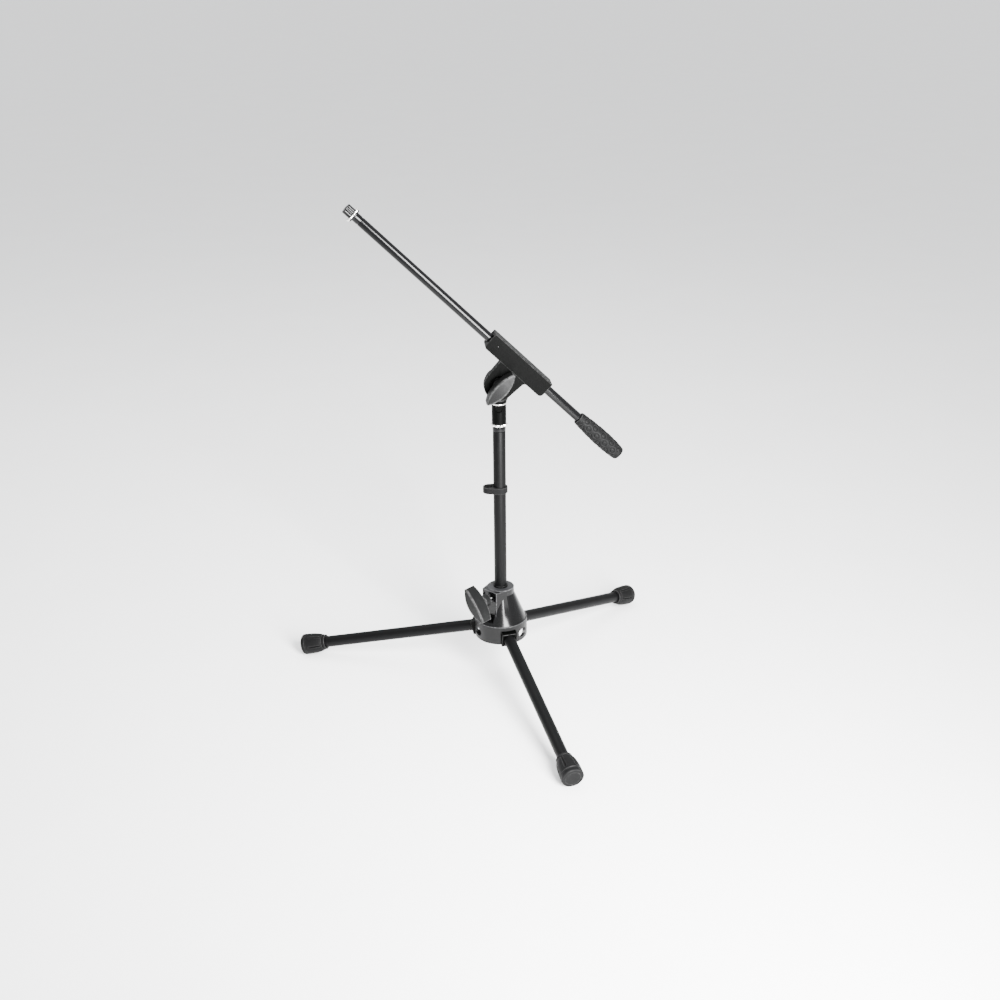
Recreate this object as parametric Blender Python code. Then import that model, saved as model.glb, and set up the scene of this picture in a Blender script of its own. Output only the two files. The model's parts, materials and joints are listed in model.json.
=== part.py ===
"""Short boom microphone stand: folding tripod base, pole, swivel joint and one-piece boom.

Metres, +Z up. The stand rests on z = 0 and its box is centred on the origin, so the pole
stands a little off the origin. Every moving piece has its origin, or its parent empty, on
the axis that it moves about.
"""

from math import atan, cos, pi, radians, sin, sqrt

import bmesh
import bpy
from mathutils import Matrix, Vector

MM = 0.001
GAP = 0.3 * MM

# ---------------------------------------------------------------- driving dimensions
POLE_RADIUS = 10 * MM
POLE_WALL = 1.5 * MM
POLE_TOP = 429.5 * MM

LEG_AZIMUTHS = {"a": radians(167.1), "b": radians(47.6), "c": radians(-72.9)}
LEG_TILT = radians(13.3)
LEG_RADIUS = 9.4 * MM
LEG_WALL = 1.4 * MM
LEG_PIVOT_RADIUS = 32.5 * MM
LEG_PIVOT_HEIGHT = 90.1 * MM
LEG_LENGTH = 322.8 * MM
PIN_RADIUS = 3 * MM
PIN_HOLE_RADIUS = 7 * MM

FOOT_LENGTH = 42 * MM
FOOT_RADIUS = 17.5 * MM
FOOT_END_WALL = 6.5 * MM

HUB_BOTTOM = 76.5 * MM
HUB_SHOULDER = 108 * MM
HUB_TOP = 163 * MM
SKIRT_RADIUS = 42.4 * MM
CONE_TOP_RADIUS = 21.8 * MM
KNUCKLE_WIDTH = 25 * MM
RIB_THICKNESS = 5 * MM

BUSH_DEPTH = 6 * MM
BUSH_RADIUS = 11.3 * MM

CLAMP_AZIMUTH = radians(-133)
CLAMP_HEIGHT = 149 * MM
CLAMP_FACE = 24.5 * MM
CLAMP_LIP = 27 * MM
WING_STAND_OFF = 32 * MM
CLAMP_WING_LEAN = radians(38.6)

NUT_HEIGHT = 438.9 * MM
NUT_THICKNESS = 3.2 * MM
NUT_WAVE = 0.8 * MM
SOCKET_BOTTOM = 442.6 * MM
SOCKET_TOP = 473.5 * MM
SOCKET_RADIUS = 11.3 * MM

TILT_HEIGHT = 506.5 * MM
SWIVEL_TURN = radians(5)
BOOM_PITCH = radians(44.2)
BOOM_OFFSET = 42.4 * MM
LUG_RADIUS = 23.8 * MM
LUG_SHOULDER = 25.6 * MM
LUG_FRONT = -13.4 * MM
SEAT_DEPTH = 8.4 * MM
BOLT_RADIUS = 3.9 * MM
TILT_WING_LEAN = radians(47)

BLOCK_LENGTH = 119.5 * MM
BLOCK_DEPTH = 28 * MM
BLOCK_HEIGHT = 27.6 * MM
BLOCK_DROP = 0.6 * MM

BOOM_RADIUS = 7.05 * MM
BOOM_WALL = 1.2 * MM
BOOM_END = 316.9 * MM
FERRULE_RADIUS = 10.4 * MM
BOOM_NUT_START = 330.6 * MM
BOOM_NUT_THICKNESS = 2.4 * MM
BOOM_TIP = 346 * MM
GRIP_START = 131 * MM
GRIP_LENGTH = 90.5 * MM
GRIP_RADIUS = 13.3 * MM
GRIP_END_WALL = 8.5 * MM

CLIP_HEIGHT = 332 * MM
CLIP_THICKNESS = 10 * MM


# ---------------------------------------------------------------- materials
def material(name, colour, roughness, metallic=0.0):
    made = bpy.data.materials.new(name)
    made.use_nodes = True
    shader = made.node_tree.nodes["Principled BSDF"]
    shader.inputs["Base Color"].default_value = (*colour, 1)
    shader.inputs["Roughness"].default_value = roughness
    shader.inputs["Metallic"].default_value = metallic
    return made


def black_steel():
    return material("black_powder_coat", (0.018, 0.018, 0.019), 0.42)


def black_casting():
    return material("black_lacquered_casting", (0.012, 0.012, 0.013), 0.25)


def moulded_black():
    return material("black_nylon", (0.022, 0.023, 0.023), 0.5)


def wing_grey():
    return material("dark_grey_nylon", (0.06, 0.062, 0.062), 0.55)


def rubber():
    return material("dark_grey_rubber", (0.045, 0.045, 0.046), 0.75)


def nickel():
    return material("bright_nickel", (0.72, 0.72, 0.7), 0.2, 1.0)


def zinc_plate():
    return material("zinc_plated_steel", (0.55, 0.55, 0.56), 0.35, 1.0)


def brass():
    return material("brass", (0.6, 0.45, 0.2), 0.35, 1.0)


def fibre():
    return material("friction_fibre", (0.12, 0.1, 0.09), 0.85)


# ---------------------------------------------------------------- shared shape tools
def add_object(name, bm, finish=None, sharp_angle=radians(35)):
    """Turns the bmesh into an object, welded, facing outwards and shaded smooth."""
    bmesh.ops.remove_doubles(bm, verts=bm.verts, dist=1e-6)
    bmesh.ops.recalc_face_normals(bm, faces=bm.faces)
    mesh = bpy.data.meshes.new(name)
    bm.to_mesh(mesh)
    bm.free()
    mesh.shade_smooth()
    mesh.set_sharp_from_angle(angle=sharp_angle)
    made = bpy.data.objects.new(name, mesh)
    bpy.context.scene.collection.objects.link(made)
    if finish:
        mesh.materials.append(finish)
    return made


def turned(name, profile, finish=None, steps=24, closed=False, axis="Z"):
    """Spins (radius, height) points about the axis. A closed profile makes a ring."""
    bm = bmesh.new()
    points = [bm.verts.new((radius, 0, height)) for radius, height in profile]
    edges = [bm.edges.new(pair) for pair in zip(points, points[1:])]
    if closed:
        edges.append(bm.edges.new((points[-1], points[0])))
    bmesh.ops.spin(
        bm, geom=points + edges, cent=(0, 0, 0), axis=(0, 0, 1), angle=2 * pi, steps=steps,
        use_merge=True,
    )
    if axis == "X":
        bmesh.ops.rotate(bm, cent=(0, 0, 0), matrix=Matrix.Rotation(pi / 2, 3, "Y"), verts=bm.verts)
    if axis == "-Y":
        bmesh.ops.rotate(bm, cent=(0, 0, 0), matrix=Matrix.Rotation(pi / 2, 3, "X"), verts=bm.verts)
    return add_object(name, bm, finish)


def tube(name, outer, inner, start, end, finish=None, steps=24, axis="Z"):
    profile = [(outer, start), (outer, end), (inner, end), (inner, start)]
    return turned(name, profile, finish, steps, closed=True, axis=axis)


def rod(name, radius, start, end, finish=None, steps=20, axis="Z"):
    return turned(name, [(0, start), (radius, start), (radius, end), (0, end)], finish, steps, axis=axis)


def extruded(name, outline, low, high, finish=None, axis="Z"):
    """Extrudes a closed outline along Z, or along Y with the outline in X and Z."""
    bm = bmesh.new()
    if axis == "Y":
        corners = [bm.verts.new((x, low, z)) for x, z in outline]
        direction = Vector((0, high - low, 0))
    else:
        corners = [bm.verts.new((x, y, low)) for x, y in outline]
        direction = Vector((0, 0, high - low))
    face = bm.faces.new(corners)
    sides = bmesh.ops.extrude_face_region(bm, geom=[face])["geom"]
    bmesh.ops.translate(bm, vec=direction, verts=[v for v in sides if isinstance(v, bmesh.types.BMVert)])
    return add_object(name, bm, finish)


def box(name, low, high, finish=None):
    outline = [(low[0], low[1]), (high[0], low[1]), (high[0], high[1]), (low[0], high[1])]
    return extruded(name, outline, low[2], high[2], finish)


def arc(centre, radius, start, end, steps):
    """Points of an arc, both ends included."""
    angles = [start + (end - start) * i / steps for i in range(steps + 1)]
    return [(centre[0] + radius * cos(a), centre[1] + radius * sin(a)) for a in angles]


def bevelled(target, width, segments=2, angle=radians(50)):
    modifier = target.modifiers.new("rounded_edges", "BEVEL")
    modifier.width = width
    modifier.segments = segments
    modifier.limit_method = "ANGLE"
    modifier.angle_limit = angle
    return target


def combined(target, tool, operation):
    """Adds a Boolean with a tool object, which stays out of the render."""
    modifier = target.modifiers.new(tool.name, "BOOLEAN")
    modifier.operation = operation
    modifier.object = tool
    modifier.solver = "EXACT"
    tool.hide_render = True
    tool.display_type = "WIRE"
    return target


def cut(target, *tools):
    for tool in tools:
        combined(target, tool, "DIFFERENCE")
    return target


def joined(target, *tools):
    for tool in tools:
        combined(target, tool, "UNION")
    return target


def empty(name, parent=None, matrix=None):
    made = bpy.data.objects.new(name, None)
    made.empty_display_size = 0.02
    bpy.context.scene.collection.objects.link(made)
    made.parent = parent
    if matrix:
        made.matrix_local = matrix
    return made


def hang(parent, *pieces, matrix=None):
    """Parents the pieces, and the tools of their Booleans, in the parent's own frame."""
    for piece in pieces:
        piece.parent = parent
        if matrix:
            piece.matrix_local = matrix
        for modifier in piece.modifiers:
            if modifier.type == "BOOLEAN":
                hang(parent, modifier.object, matrix=matrix)


# ---------------------------------------------------------------- frames of the joints
def foot_disc(azimuth):
    """Centre of a foot's end disc, measured from the pole, and its reach along X and Y."""
    reach = LEG_PIVOT_RADIUS + LEG_LENGTH * cos(LEG_TILT)
    centre = Vector((reach * cos(azimuth), reach * sin(azimuth)))
    along = Vector((cos(azimuth), sin(azimuth))) * cos(LEG_TILT)
    spread = Vector((sqrt(1 - along.x**2), sqrt(1 - along.y**2))) * FOOT_RADIUS
    return centre, spread


def stand_frame():
    """The pole's axis on the floor, placed so that the feet's box is centred on the origin."""
    discs = [foot_disc(azimuth) for azimuth in LEG_AZIMUTHS.values()]
    middle = [
        (max(c[i] + s[i] for c, s in discs) + min(c[i] - s[i] for c, s in discs)) / 2 for i in (0, 1)
    ]
    return empty("stand_axis", matrix=Matrix.Translation((-middle[0], -middle[1], 0)))


def leg_frame(letter, stand):
    """Origin on the leg's pin, X along the leg, Y along the pin."""
    azimuth = LEG_AZIMUTHS[letter]
    place = (
        Matrix.Rotation(azimuth, 4, "Z")
        @ Matrix.Translation((LEG_PIVOT_RADIUS, 0, LEG_PIVOT_HEIGHT))
        @ Matrix.Rotation(LEG_TILT, 4, "Y")
    )
    return empty(f"leg_{letter}_pivot", stand, place)


def clamp_frame(stand):
    """Origin on the pole's axis at the clamp screw, Z outwards along the screw."""
    place = (
        Matrix.Translation((0, 0, CLAMP_HEIGHT))
        @ Matrix.Rotation(CLAMP_AZIMUTH, 4, "Z")
        @ Matrix.Rotation(pi / 2, 4, "Y")
    )
    return empty("clamp_screw_axis", stand, place)


def swivel_frame(stand):
    """Origin on the tilt bolt over the pole, X towards the grip, Y along the bolt to the rear."""
    place = Matrix.Translation((0, 0, TILT_HEIGHT)) @ Matrix.Rotation(SWIVEL_TURN, 4, "Z")
    return empty("swivel_axis", stand, place)


def tilt_frame(swivel):
    """The swivel frame turned to the boom's pitch: X runs down the boom towards the grip."""
    return empty("tilt_axis", swivel, Matrix.Rotation(BOOM_PITCH, 4, "Y"))


def boom_frame(tilt):
    """Origin on the boom's axis above the tilt bolt, Z along the boom towards its tip."""
    place = Matrix.Translation((0, 0, BOOM_OFFSET)) @ Matrix.Rotation(-pi / 2, 4, "Y")
    return empty("boom_axis", tilt, place)


# ---------------------------------------------------------------- tripod base
def cone_radius(height):
    """Outer radius of the hub's cone."""
    cone_top = HUB_TOP - 10 * MM
    share = (height - HUB_SHOULDER) / (cone_top - HUB_SHOULDER)
    return 40.3 * MM + (CONE_TOP_RADIUS - 40.3 * MM) * share


def hub_shell():
    skirt_wall = 4.2 * MM
    bore = POLE_RADIUS + 0.5 * MM
    ceiling = HUB_SHOULDER + 4 * MM
    profile = [
        (SKIRT_RADIUS - skirt_wall, HUB_BOTTOM),
        (SKIRT_RADIUS - 1.2 * MM, HUB_BOTTOM),
        (SKIRT_RADIUS, HUB_BOTTOM + 1.2 * MM),
        (SKIRT_RADIUS, HUB_SHOULDER - 1.6 * MM),
        (SKIRT_RADIUS - 0.7 * MM, HUB_SHOULDER - 0.5 * MM),
        (40.6 * MM, HUB_SHOULDER - 0.2 * MM),
        (cone_radius(HUB_SHOULDER + 1 * MM), HUB_SHOULDER + 1 * MM),
        (CONE_TOP_RADIUS, HUB_TOP - 10 * MM),
        (CONE_TOP_RADIUS, HUB_TOP - 1 * MM),
        (CONE_TOP_RADIUS - 1 * MM, HUB_TOP),
        (bore, HUB_TOP),
        (bore, ceiling),
        (36.5 * MM, ceiling),
        (SKIRT_RADIUS - skirt_wall, ceiling - 9 * MM),
    ]
    return turned("hub_body", profile, black_casting(), steps=48, closed=True)


def clamp_boss():
    """Tools for the clamp: a block beside the pole, and the pocket under its top lip."""
    lip = 15.5 * MM
    flank = CONE_TOP_RADIUS - 0.5 * MM
    back = 5 * MM
    clear = POLE_RADIUS + 2 * MM
    outline = [(back, -flank), (CLAMP_LIP, -lip), (CLAMP_LIP, lip), (back, flank)]
    outline += [(back, clear), (clear, clear), (clear, -clear), (back, -clear)]
    boss = extruded("clamp_boss", outline, HUB_SHOULDER + 6 * MM, HUB_TOP - 0.4 * MM)
    pocket = box(
        "clamp_pocket", (CLAMP_FACE, -13 * MM, HUB_SHOULDER + 4.6 * MM), (60 * MM, 13 * MM, HUB_TOP - 5 * MM)
    )
    return boss, pocket


def rib(side):
    """A cheek beside a leg's slot, which holds one end of the leg's pin."""
    near = side * (KNUCKLE_WIDTH / 2 + GAP)
    far = side * (KNUCKLE_WIDTH / 2 + RIB_THICKNESS)
    low = (23 * MM, min(near, far), HUB_BOTTOM + 3 * MM)
    high = (36.8 * MM, max(near, far), HUB_SHOULDER - 3.5 * MM)
    return box("leg_rib", low, high)


def hub_body(stand, clamp):
    hub = hub_shell()
    boss, pocket = clamp_boss()
    turn = Matrix.Rotation(CLAMP_AZIMUTH, 4, "Z")
    for tool in (boss, pocket):
        tool.matrix_local = turn
    joined(hub, boss)
    cut(hub, pocket)
    slots = []
    rib_face = KNUCKLE_WIDTH / 2 + RIB_THICKNESS
    for azimuth in LEG_AZIMUTHS.values():
        place = Matrix.Rotation(azimuth, 4, "Z")
        pin = place @ Matrix.Translation((LEG_PIVOT_RADIUS, 0, LEG_PIVOT_HEIGHT))
        for side in (-1, 1):
            cheek = rib(side)
            cheek.matrix_local = place
            joined(hub, cheek)
        half = KNUCKLE_WIDTH / 2 + 0.6 * MM
        slot = box("leg_slot", (14 * MM, -half, 60 * MM), (60 * MM, half, 101 * MM))
        slot.matrix_local = place
        bore = rod("pin_bore", PIN_RADIUS + GAP, -rib_face - 2 * MM, rib_face + 0.7 * MM, steps=16, axis="-Y")
        bore.matrix_local = pin
        hole = rod("pin_hole", PIN_HOLE_RADIUS, rib_face + 1.5 * MM, 50 * MM, steps=16, axis="-Y")
        hole.matrix_local = pin @ Matrix.Rotation(pi, 4, "Z")
        slots += [slot, bore, hole]
    cut(hub, *slots)
    screw = rod("clamp_bore", 5.4 * MM, 5 * MM, 19.7 * MM, steps=16)
    bush = rod("clamp_bush_pocket", 7.3 * MM, 19 * MM, 40 * MM, steps=16)
    hang(clamp, screw, bush)
    cut(hub, screw, bush)
    cut(hub, rod("pole_bush_pocket", BUSH_RADIUS + GAP, HUB_TOP - BUSH_DEPTH, HUB_TOP + 5 * MM, steps=32))
    hub.parent = stand
    for modifier in hub.modifiers:
        if modifier.object.parent is None:
            modifier.object.parent = stand
    return hub


def pole_bush(stand):
    low = HUB_TOP - BUSH_DEPTH + GAP
    high = HUB_TOP + 2.6 * MM
    profile = [
        (POLE_RADIUS + GAP, low),
        (BUSH_RADIUS, low),
        (BUSH_RADIUS, high - 0.4 * MM),
        (BUSH_RADIUS - 0.4 * MM, high),
        (POLE_RADIUS + GAP, high),
    ]
    hang(stand, turned("pole_bush", profile, moulded_black(), steps=32, closed=True))


def leg_knuckle(letter):
    """The moulded sleeve that carries the tube, with a tail that rests on the spreader disc."""
    half = KNUCKLE_WIDTH / 2
    outline = [
        (-18 * MM, -6 * MM),
        (-10 * MM, -6 * MM),
        (-4.6 * MM, -12.5 * MM),
        (14.5 * MM, -12.5 * MM),
        (14.5 * MM, 11 * MM),
        (-2 * MM, 11 * MM),
        (-9 * MM, 2 * MM),
        (-18 * MM, 2 * MM),
    ]
    knuckle = extruded(f"leg_{letter}_knuckle", outline, -half, half, moulded_black(), axis="Y")
    bevelled(knuckle, 0.8 * MM)
    socket = rod(f"leg_{letter}_socket", LEG_RADIUS + GAP, -6 * MM, 30 * MM, axis="X")
    bore = rod(f"leg_{letter}_bore", PIN_RADIUS + GAP, -20 * MM, 20 * MM, steps=16, axis="-Y")
    return cut(knuckle, socket, bore)


def leg_tube(letter):
    end = LEG_LENGTH - FOOT_END_WALL - GAP
    made = tube(
        f"leg_{letter}_tube", LEG_RADIUS, LEG_RADIUS - LEG_WALL, -5.6 * MM, end, black_steel(), axis="X"
    )
    bore = rod(f"leg_{letter}_tube_bore", PIN_RADIUS + GAP, -20 * MM, 20 * MM, steps=16, axis="-Y")
    return cut(made, bore)


def rubber_foot(letter, stand):
    """A flared cap with a rounded rim, worn flat where it meets the floor."""
    start = LEG_LENGTH - FOOT_LENGTH
    bore = LEG_RADIUS + GAP
    rim = 3.2 * MM
    profile = [
        (bore, start),
        (11.6 * MM, start),
        (12.4 * MM, start + 0.8 * MM),
        (12.9 * MM, start + 4 * MM),
        (14.7 * MM, start + 8.5 * MM),
        (15.7 * MM, start + 12.5 * MM),
        (16.5 * MM, start + 17.5 * MM),
        (17.1 * MM, start + 24 * MM),
        (FOOT_RADIUS, start + 33 * MM),
    ]
    profile += arc_profile(FOOT_RADIUS - rim, LEG_LENGTH - rim, rim, 4)
    profile += [(0, LEG_LENGTH), (0, LEG_LENGTH - FOOT_END_WALL), (bore, LEG_LENGTH - FOOT_END_WALL)]
    foot = turned(f"leg_{letter}_foot", profile, rubber(), steps=28, closed=True, axis="X")
    reach = LEG_PIVOT_RADIUS + LEG_LENGTH
    floor = box(f"leg_{letter}_floor", (200 * MM, -40 * MM, -30 * MM), (reach + 40 * MM, 40 * MM, 0))
    floor.matrix_local = Matrix.Rotation(LEG_AZIMUTHS[letter], 4, "Z")
    floor.parent = stand
    return foot, floor


def arc_profile(radius, height, rounding, steps):
    """(radius, height) points round a rim, from its side to its end face."""
    angles = [pi / 2 * i / steps for i in range(steps + 1)]
    return [(radius + rounding * cos(a), height + rounding * sin(a)) for a in angles]


def leg(letter, stand):
    pivot = leg_frame(letter, stand)
    foot, floor = rubber_foot(letter, stand)
    hang(pivot, leg_knuckle(letter), leg_tube(letter), foot)
    cut(foot, floor)
    half_pin = KNUCKLE_WIDTH / 2 + RIB_THICKNESS
    pin = rod(f"leg_{letter}_pin", PIN_RADIUS, -half_pin, half_pin, zinc_plate(), steps=16, axis="-Y")
    hang(pivot, pin)


# ---------------------------------------------------------------- wing handles
def wing_ring(along):
    """One section across the blades, a rounded box that narrows towards the ends."""
    half_length = 30.5 * MM
    share = along / half_length
    half_width = 1.8 * MM + 8.6 * MM * (1 - share**2) ** 0.85
    low = 12 * MM
    high = 36.5 * MM - 4.5 * MM * share**2
    corner = min(half_width * 0.8, 3 * MM)
    ring = []
    for index, (side_y, side_z) in enumerate(((1, 1), (-1, 1), (-1, -1), (1, -1))):
        centre = (side_y * (half_width - corner), (low + high) / 2 + side_z * ((high - low) / 2 - corner))
        ring += arc(centre, corner, index * pi / 2, (index + 1) * pi / 2, 3)
    return [(along, y, z) for y, z in ring]


def wing(name, frame, seat, lean):
    """A moulded wing handle on the frame's Z axis, its base at the seat height."""
    bm = bmesh.new()
    stations = [-30.5, -29.5, -26, -20, -12, -4, 4, 12, 20, 26, 29.5, 30.5]
    rings = [[bm.verts.new(point) for point in wing_ring(s * MM)] for s in stations]
    for first, second in zip(rings, rings[1:]):
        for i in range(len(first)):
            j = (i + 1) % len(first)
            bm.faces.new((first[i], first[j], second[j], second[i]))
    bm.faces.new(rings[0])
    bm.faces.new(rings[-1])
    blades = add_object(name, bm, wing_grey())
    boss = turned(
        f"{name}_boss",
        [(0, 0), (9.2 * MM, 0), (10 * MM, 0.8 * MM), (10 * MM, 11 * MM), (7 * MM, 18 * MM), (0, 18 * MM)],
    )
    bore = rod(f"{name}_bore", 6.3 * MM, -5 * MM, 14 * MM, steps=16)
    deep = rod(f"{name}_deep_bore", 4.4 * MM, 10 * MM, 24 * MM, steps=16)
    joined(blades, boss)
    cut(blades, bore, deep)
    place = Matrix.Translation((0, 0, seat)) @ Matrix.Rotation(lean, 4, "Z")
    hang(frame, blades, matrix=place)


def clamp(stand):
    """The screw that grips the pole in the hub: wing, stud, thread bush and pressure shoe."""
    frame = clamp_frame(stand)
    hub_body(stand, frame)
    wing("clamp_wing", frame, WING_STAND_OFF, CLAMP_WING_LEAN)
    stud_tip = 14.8 * MM
    head = WING_STAND_OFF + GAP
    stud = [
        (0, stud_tip),
        (3.2 * MM, stud_tip),
        (3.9 * MM, stud_tip + 0.8 * MM),
        (3.9 * MM, head),
        (6 * MM, head),
        (6 * MM, head + 13 * MM),
        (0, head + 13 * MM),
    ]
    hang(frame, turned("clamp_stud", stud, black_steel(), steps=16))
    bush_end = CLAMP_FACE - GAP
    hang(frame, tube("clamp_bush", 7 * MM, 4.2 * MM, 20.1 * MM, bush_end, black_steel(), steps=16))
    hang(frame, rod("clamp_shoe", 5 * MM, POLE_RADIUS + 0.6 * MM, 14.4 * MM, brass(), steps=16))


# ---------------------------------------------------------------- pole
def pole(stand):
    disc_top = LEG_PIVOT_HEIGHT - 2.8 * MM
    pole_bottom = disc_top + GAP
    hang(
        stand,
        tube("pole_tube", POLE_RADIUS, POLE_RADIUS - POLE_WALL, pole_bottom, POLE_TOP, black_steel(), 32),
    )
    spigot = POLE_RADIUS - POLE_WALL - GAP
    spreader = [
        (3.3 * MM, disc_top - 4 * MM),
        (15.5 * MM, disc_top - 4 * MM),
        (16.5 * MM, disc_top - 3 * MM),
        (16.5 * MM, disc_top),
        (spigot, disc_top),
        (spigot, disc_top + 22 * MM),
        (3.3 * MM, disc_top + 22 * MM),
    ]
    hang(stand, turned("spreader_disc", spreader, moulded_black(), steps=24, closed=True))
    screw = [
        (0, disc_top - 7.4 * MM),
        (4.8 * MM, disc_top - 7.4 * MM),
        (5.6 * MM, disc_top - 6.4 * MM),
        (5.6 * MM, disc_top - 4 * MM - GAP),
        (3 * MM, disc_top - 4 * MM - GAP),
        (3 * MM, disc_top + 20 * MM),
        (0, disc_top + 20 * MM),
    ]
    hang(stand, turned("spreader_screw", screw, zinc_plate(), steps=16))
    top = POLE_TOP + GAP
    plug = [
        (0, top - 18 * MM),
        (spigot, top - 18 * MM),
        (spigot, top),
        (10.4 * MM, top),
        (10.4 * MM, NUT_HEIGHT - GAP),
        (7.9 * MM, NUT_HEIGHT - GAP),
        (7.9 * MM, SOCKET_TOP - 10 * MM),
        (7 * MM, SOCKET_TOP - 9 * MM),
        (0, SOCKET_TOP - 9 * MM),
    ]
    hang(stand, turned("pole_top_plug", plug, black_steel()))


def wave_radius(radius, lobes, turn):
    return radius - NUT_WAVE + NUT_WAVE * sin(2 * pi * lobes * turn)


def lock_nut(name, radius, bore, low, high, lobes):
    """A thin nut whose edge waves in and out, so that fingers can turn it."""
    count = lobes * 6
    outline = [
        (wave_radius(radius, lobes, i / count) * cos(2 * pi * i / count),
         wave_radius(radius, lobes, i / count) * sin(2 * pi * i / count))
        for i in range(count)
    ]
    nut = extruded(name, outline, low, high, nickel())
    return cut(nut, rod(f"{name}_bore", bore, low - 5 * MM, high + 5 * MM))


def cable_clip(stand):
    """A springy oval band round the pole, with a loop beside it for the cable."""
    sleeve = POLE_RADIUS + 2.6 * MM
    loop_radius = 10.5 * MM
    loop_centre = -16 * MM
    lean = atan((sleeve - loop_radius) / -loop_centre)
    outline = arc((0, 0), sleeve, -pi / 2 - lean, pi / 2 + lean, 18)
    outline += arc((loop_centre, 0), loop_radius, pi / 2 + lean, 3 * pi / 2 - lean, 14)
    half = CLIP_THICKNESS / 2
    clip = extruded("cable_clip", outline, CLIP_HEIGHT - half, CLIP_HEIGHT + half, rubber())
    pole_bore = rod("clip_pole_bore", POLE_RADIUS + GAP, CLIP_HEIGHT - 9 * MM, CLIP_HEIGHT + 9 * MM)
    loop = [(-11.4 * MM, y) for y in (-3.6 * MM, 3.6 * MM)]
    loop += arc((loop_centre, 0), loop_radius - 2.4 * MM, radians(120), radians(240), 10)
    cable_bore = extruded("clip_loop_bore", loop, CLIP_HEIGHT - 9 * MM, CLIP_HEIGHT + 9 * MM)
    hang(stand, cut(clip, pole_bore, cable_bore))


# ---------------------------------------------------------------- swivel joint
def swivel_base(stand, swivel):
    """The threaded socket on the pole, and the half of the tilt joint above it."""
    socket_bore = 8.2 * MM
    profile = [
        (socket_bore, SOCKET_BOTTOM),
        (SOCKET_RADIUS - 0.6 * MM, SOCKET_BOTTOM),
        (SOCKET_RADIUS, SOCKET_BOTTOM + 0.6 * MM),
        (SOCKET_RADIUS, SOCKET_TOP),
        (9.4 * MM, SOCKET_TOP),
        (9.4 * MM, SOCKET_TOP + 2.6 * MM),
        (11.8 * MM, SOCKET_TOP + 2.6 * MM),
        (12.5 * MM, SOCKET_TOP + 8.8 * MM),
        (0, SOCKET_TOP + 8.8 * MM),
        (0, SOCKET_TOP - 8 * MM),
        (socket_bore, SOCKET_TOP - 8 * MM),
    ]
    base = turned("swivel_base", profile, moulded_black(), closed=True)
    neck_low = SOCKET_TOP + 3 * MM - TILT_HEIGHT
    cheek_radius = LUG_RADIUS - 2.8 * MM
    outline = [(12.4 * MM, neck_low), (17.6 * MM, neck_low + 13 * MM)]
    outline += arc((0, 0), cheek_radius, -pi / 6, pi + pi / 6, 28)
    outline += [(-17.6 * MM, neck_low + 13 * MM), (-12.4 * MM, neck_low)]
    cheek = extruded("swivel_cheek", outline, 1.1 * MM, 13.4 * MM, axis="Y")
    bevelled(cheek, 1 * MM)
    bore = rod("swivel_bolt_bore", BOLT_RADIUS + GAP, -30 * MM, 30 * MM, steps=24, axis="-Y")
    hang(swivel, cheek, bore)
    joined(base, cheek)
    cut(base, bore)
    base.parent = stand
    ring = tube("swivel_ring", 11.6 * MM, 9.7 * MM, SOCKET_TOP + GAP, SOCKET_TOP + 2.3 * MM, nickel(), 28)
    hang(stand, ring)


def tilt_bolt(swivel):
    head = [(6.5 * MM * cos(pi / 3 * i), 6.5 * MM * sin(pi / 3 * i)) for i in range(6)]
    bolt = extruded("tilt_bolt", head, 13.7 * MM, 18.7 * MM, zinc_plate(), axis="Y")
    shank = rod("tilt_bolt_shank", BOLT_RADIUS, -14 * MM, 23.5 * MM, steps=24, axis="-Y")
    joined(bolt, shank)
    disc = tube("tilt_friction_disc", 20.5 * MM, BOLT_RADIUS + GAP, -0.8 * MM, 0.8 * MM, fibre(), axis="-Y")
    hang(swivel, bolt, disc)
    screw_axis = empty("tilt_screw_axis", swivel, Matrix.Rotation(pi / 2, 4, "X"))
    seat = -LUG_FRONT - SEAT_DEPTH + GAP
    wing("tilt_wing", screw_axis, seat, TILT_WING_LEAN)
    insert = tube(
        "tilt_wing_nut", 6 * MM, BOLT_RADIUS + GAP, seat + GAP, seat + 13.6 * MM, brass(), steps=24
    )
    hang(screw_axis, insert)


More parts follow.
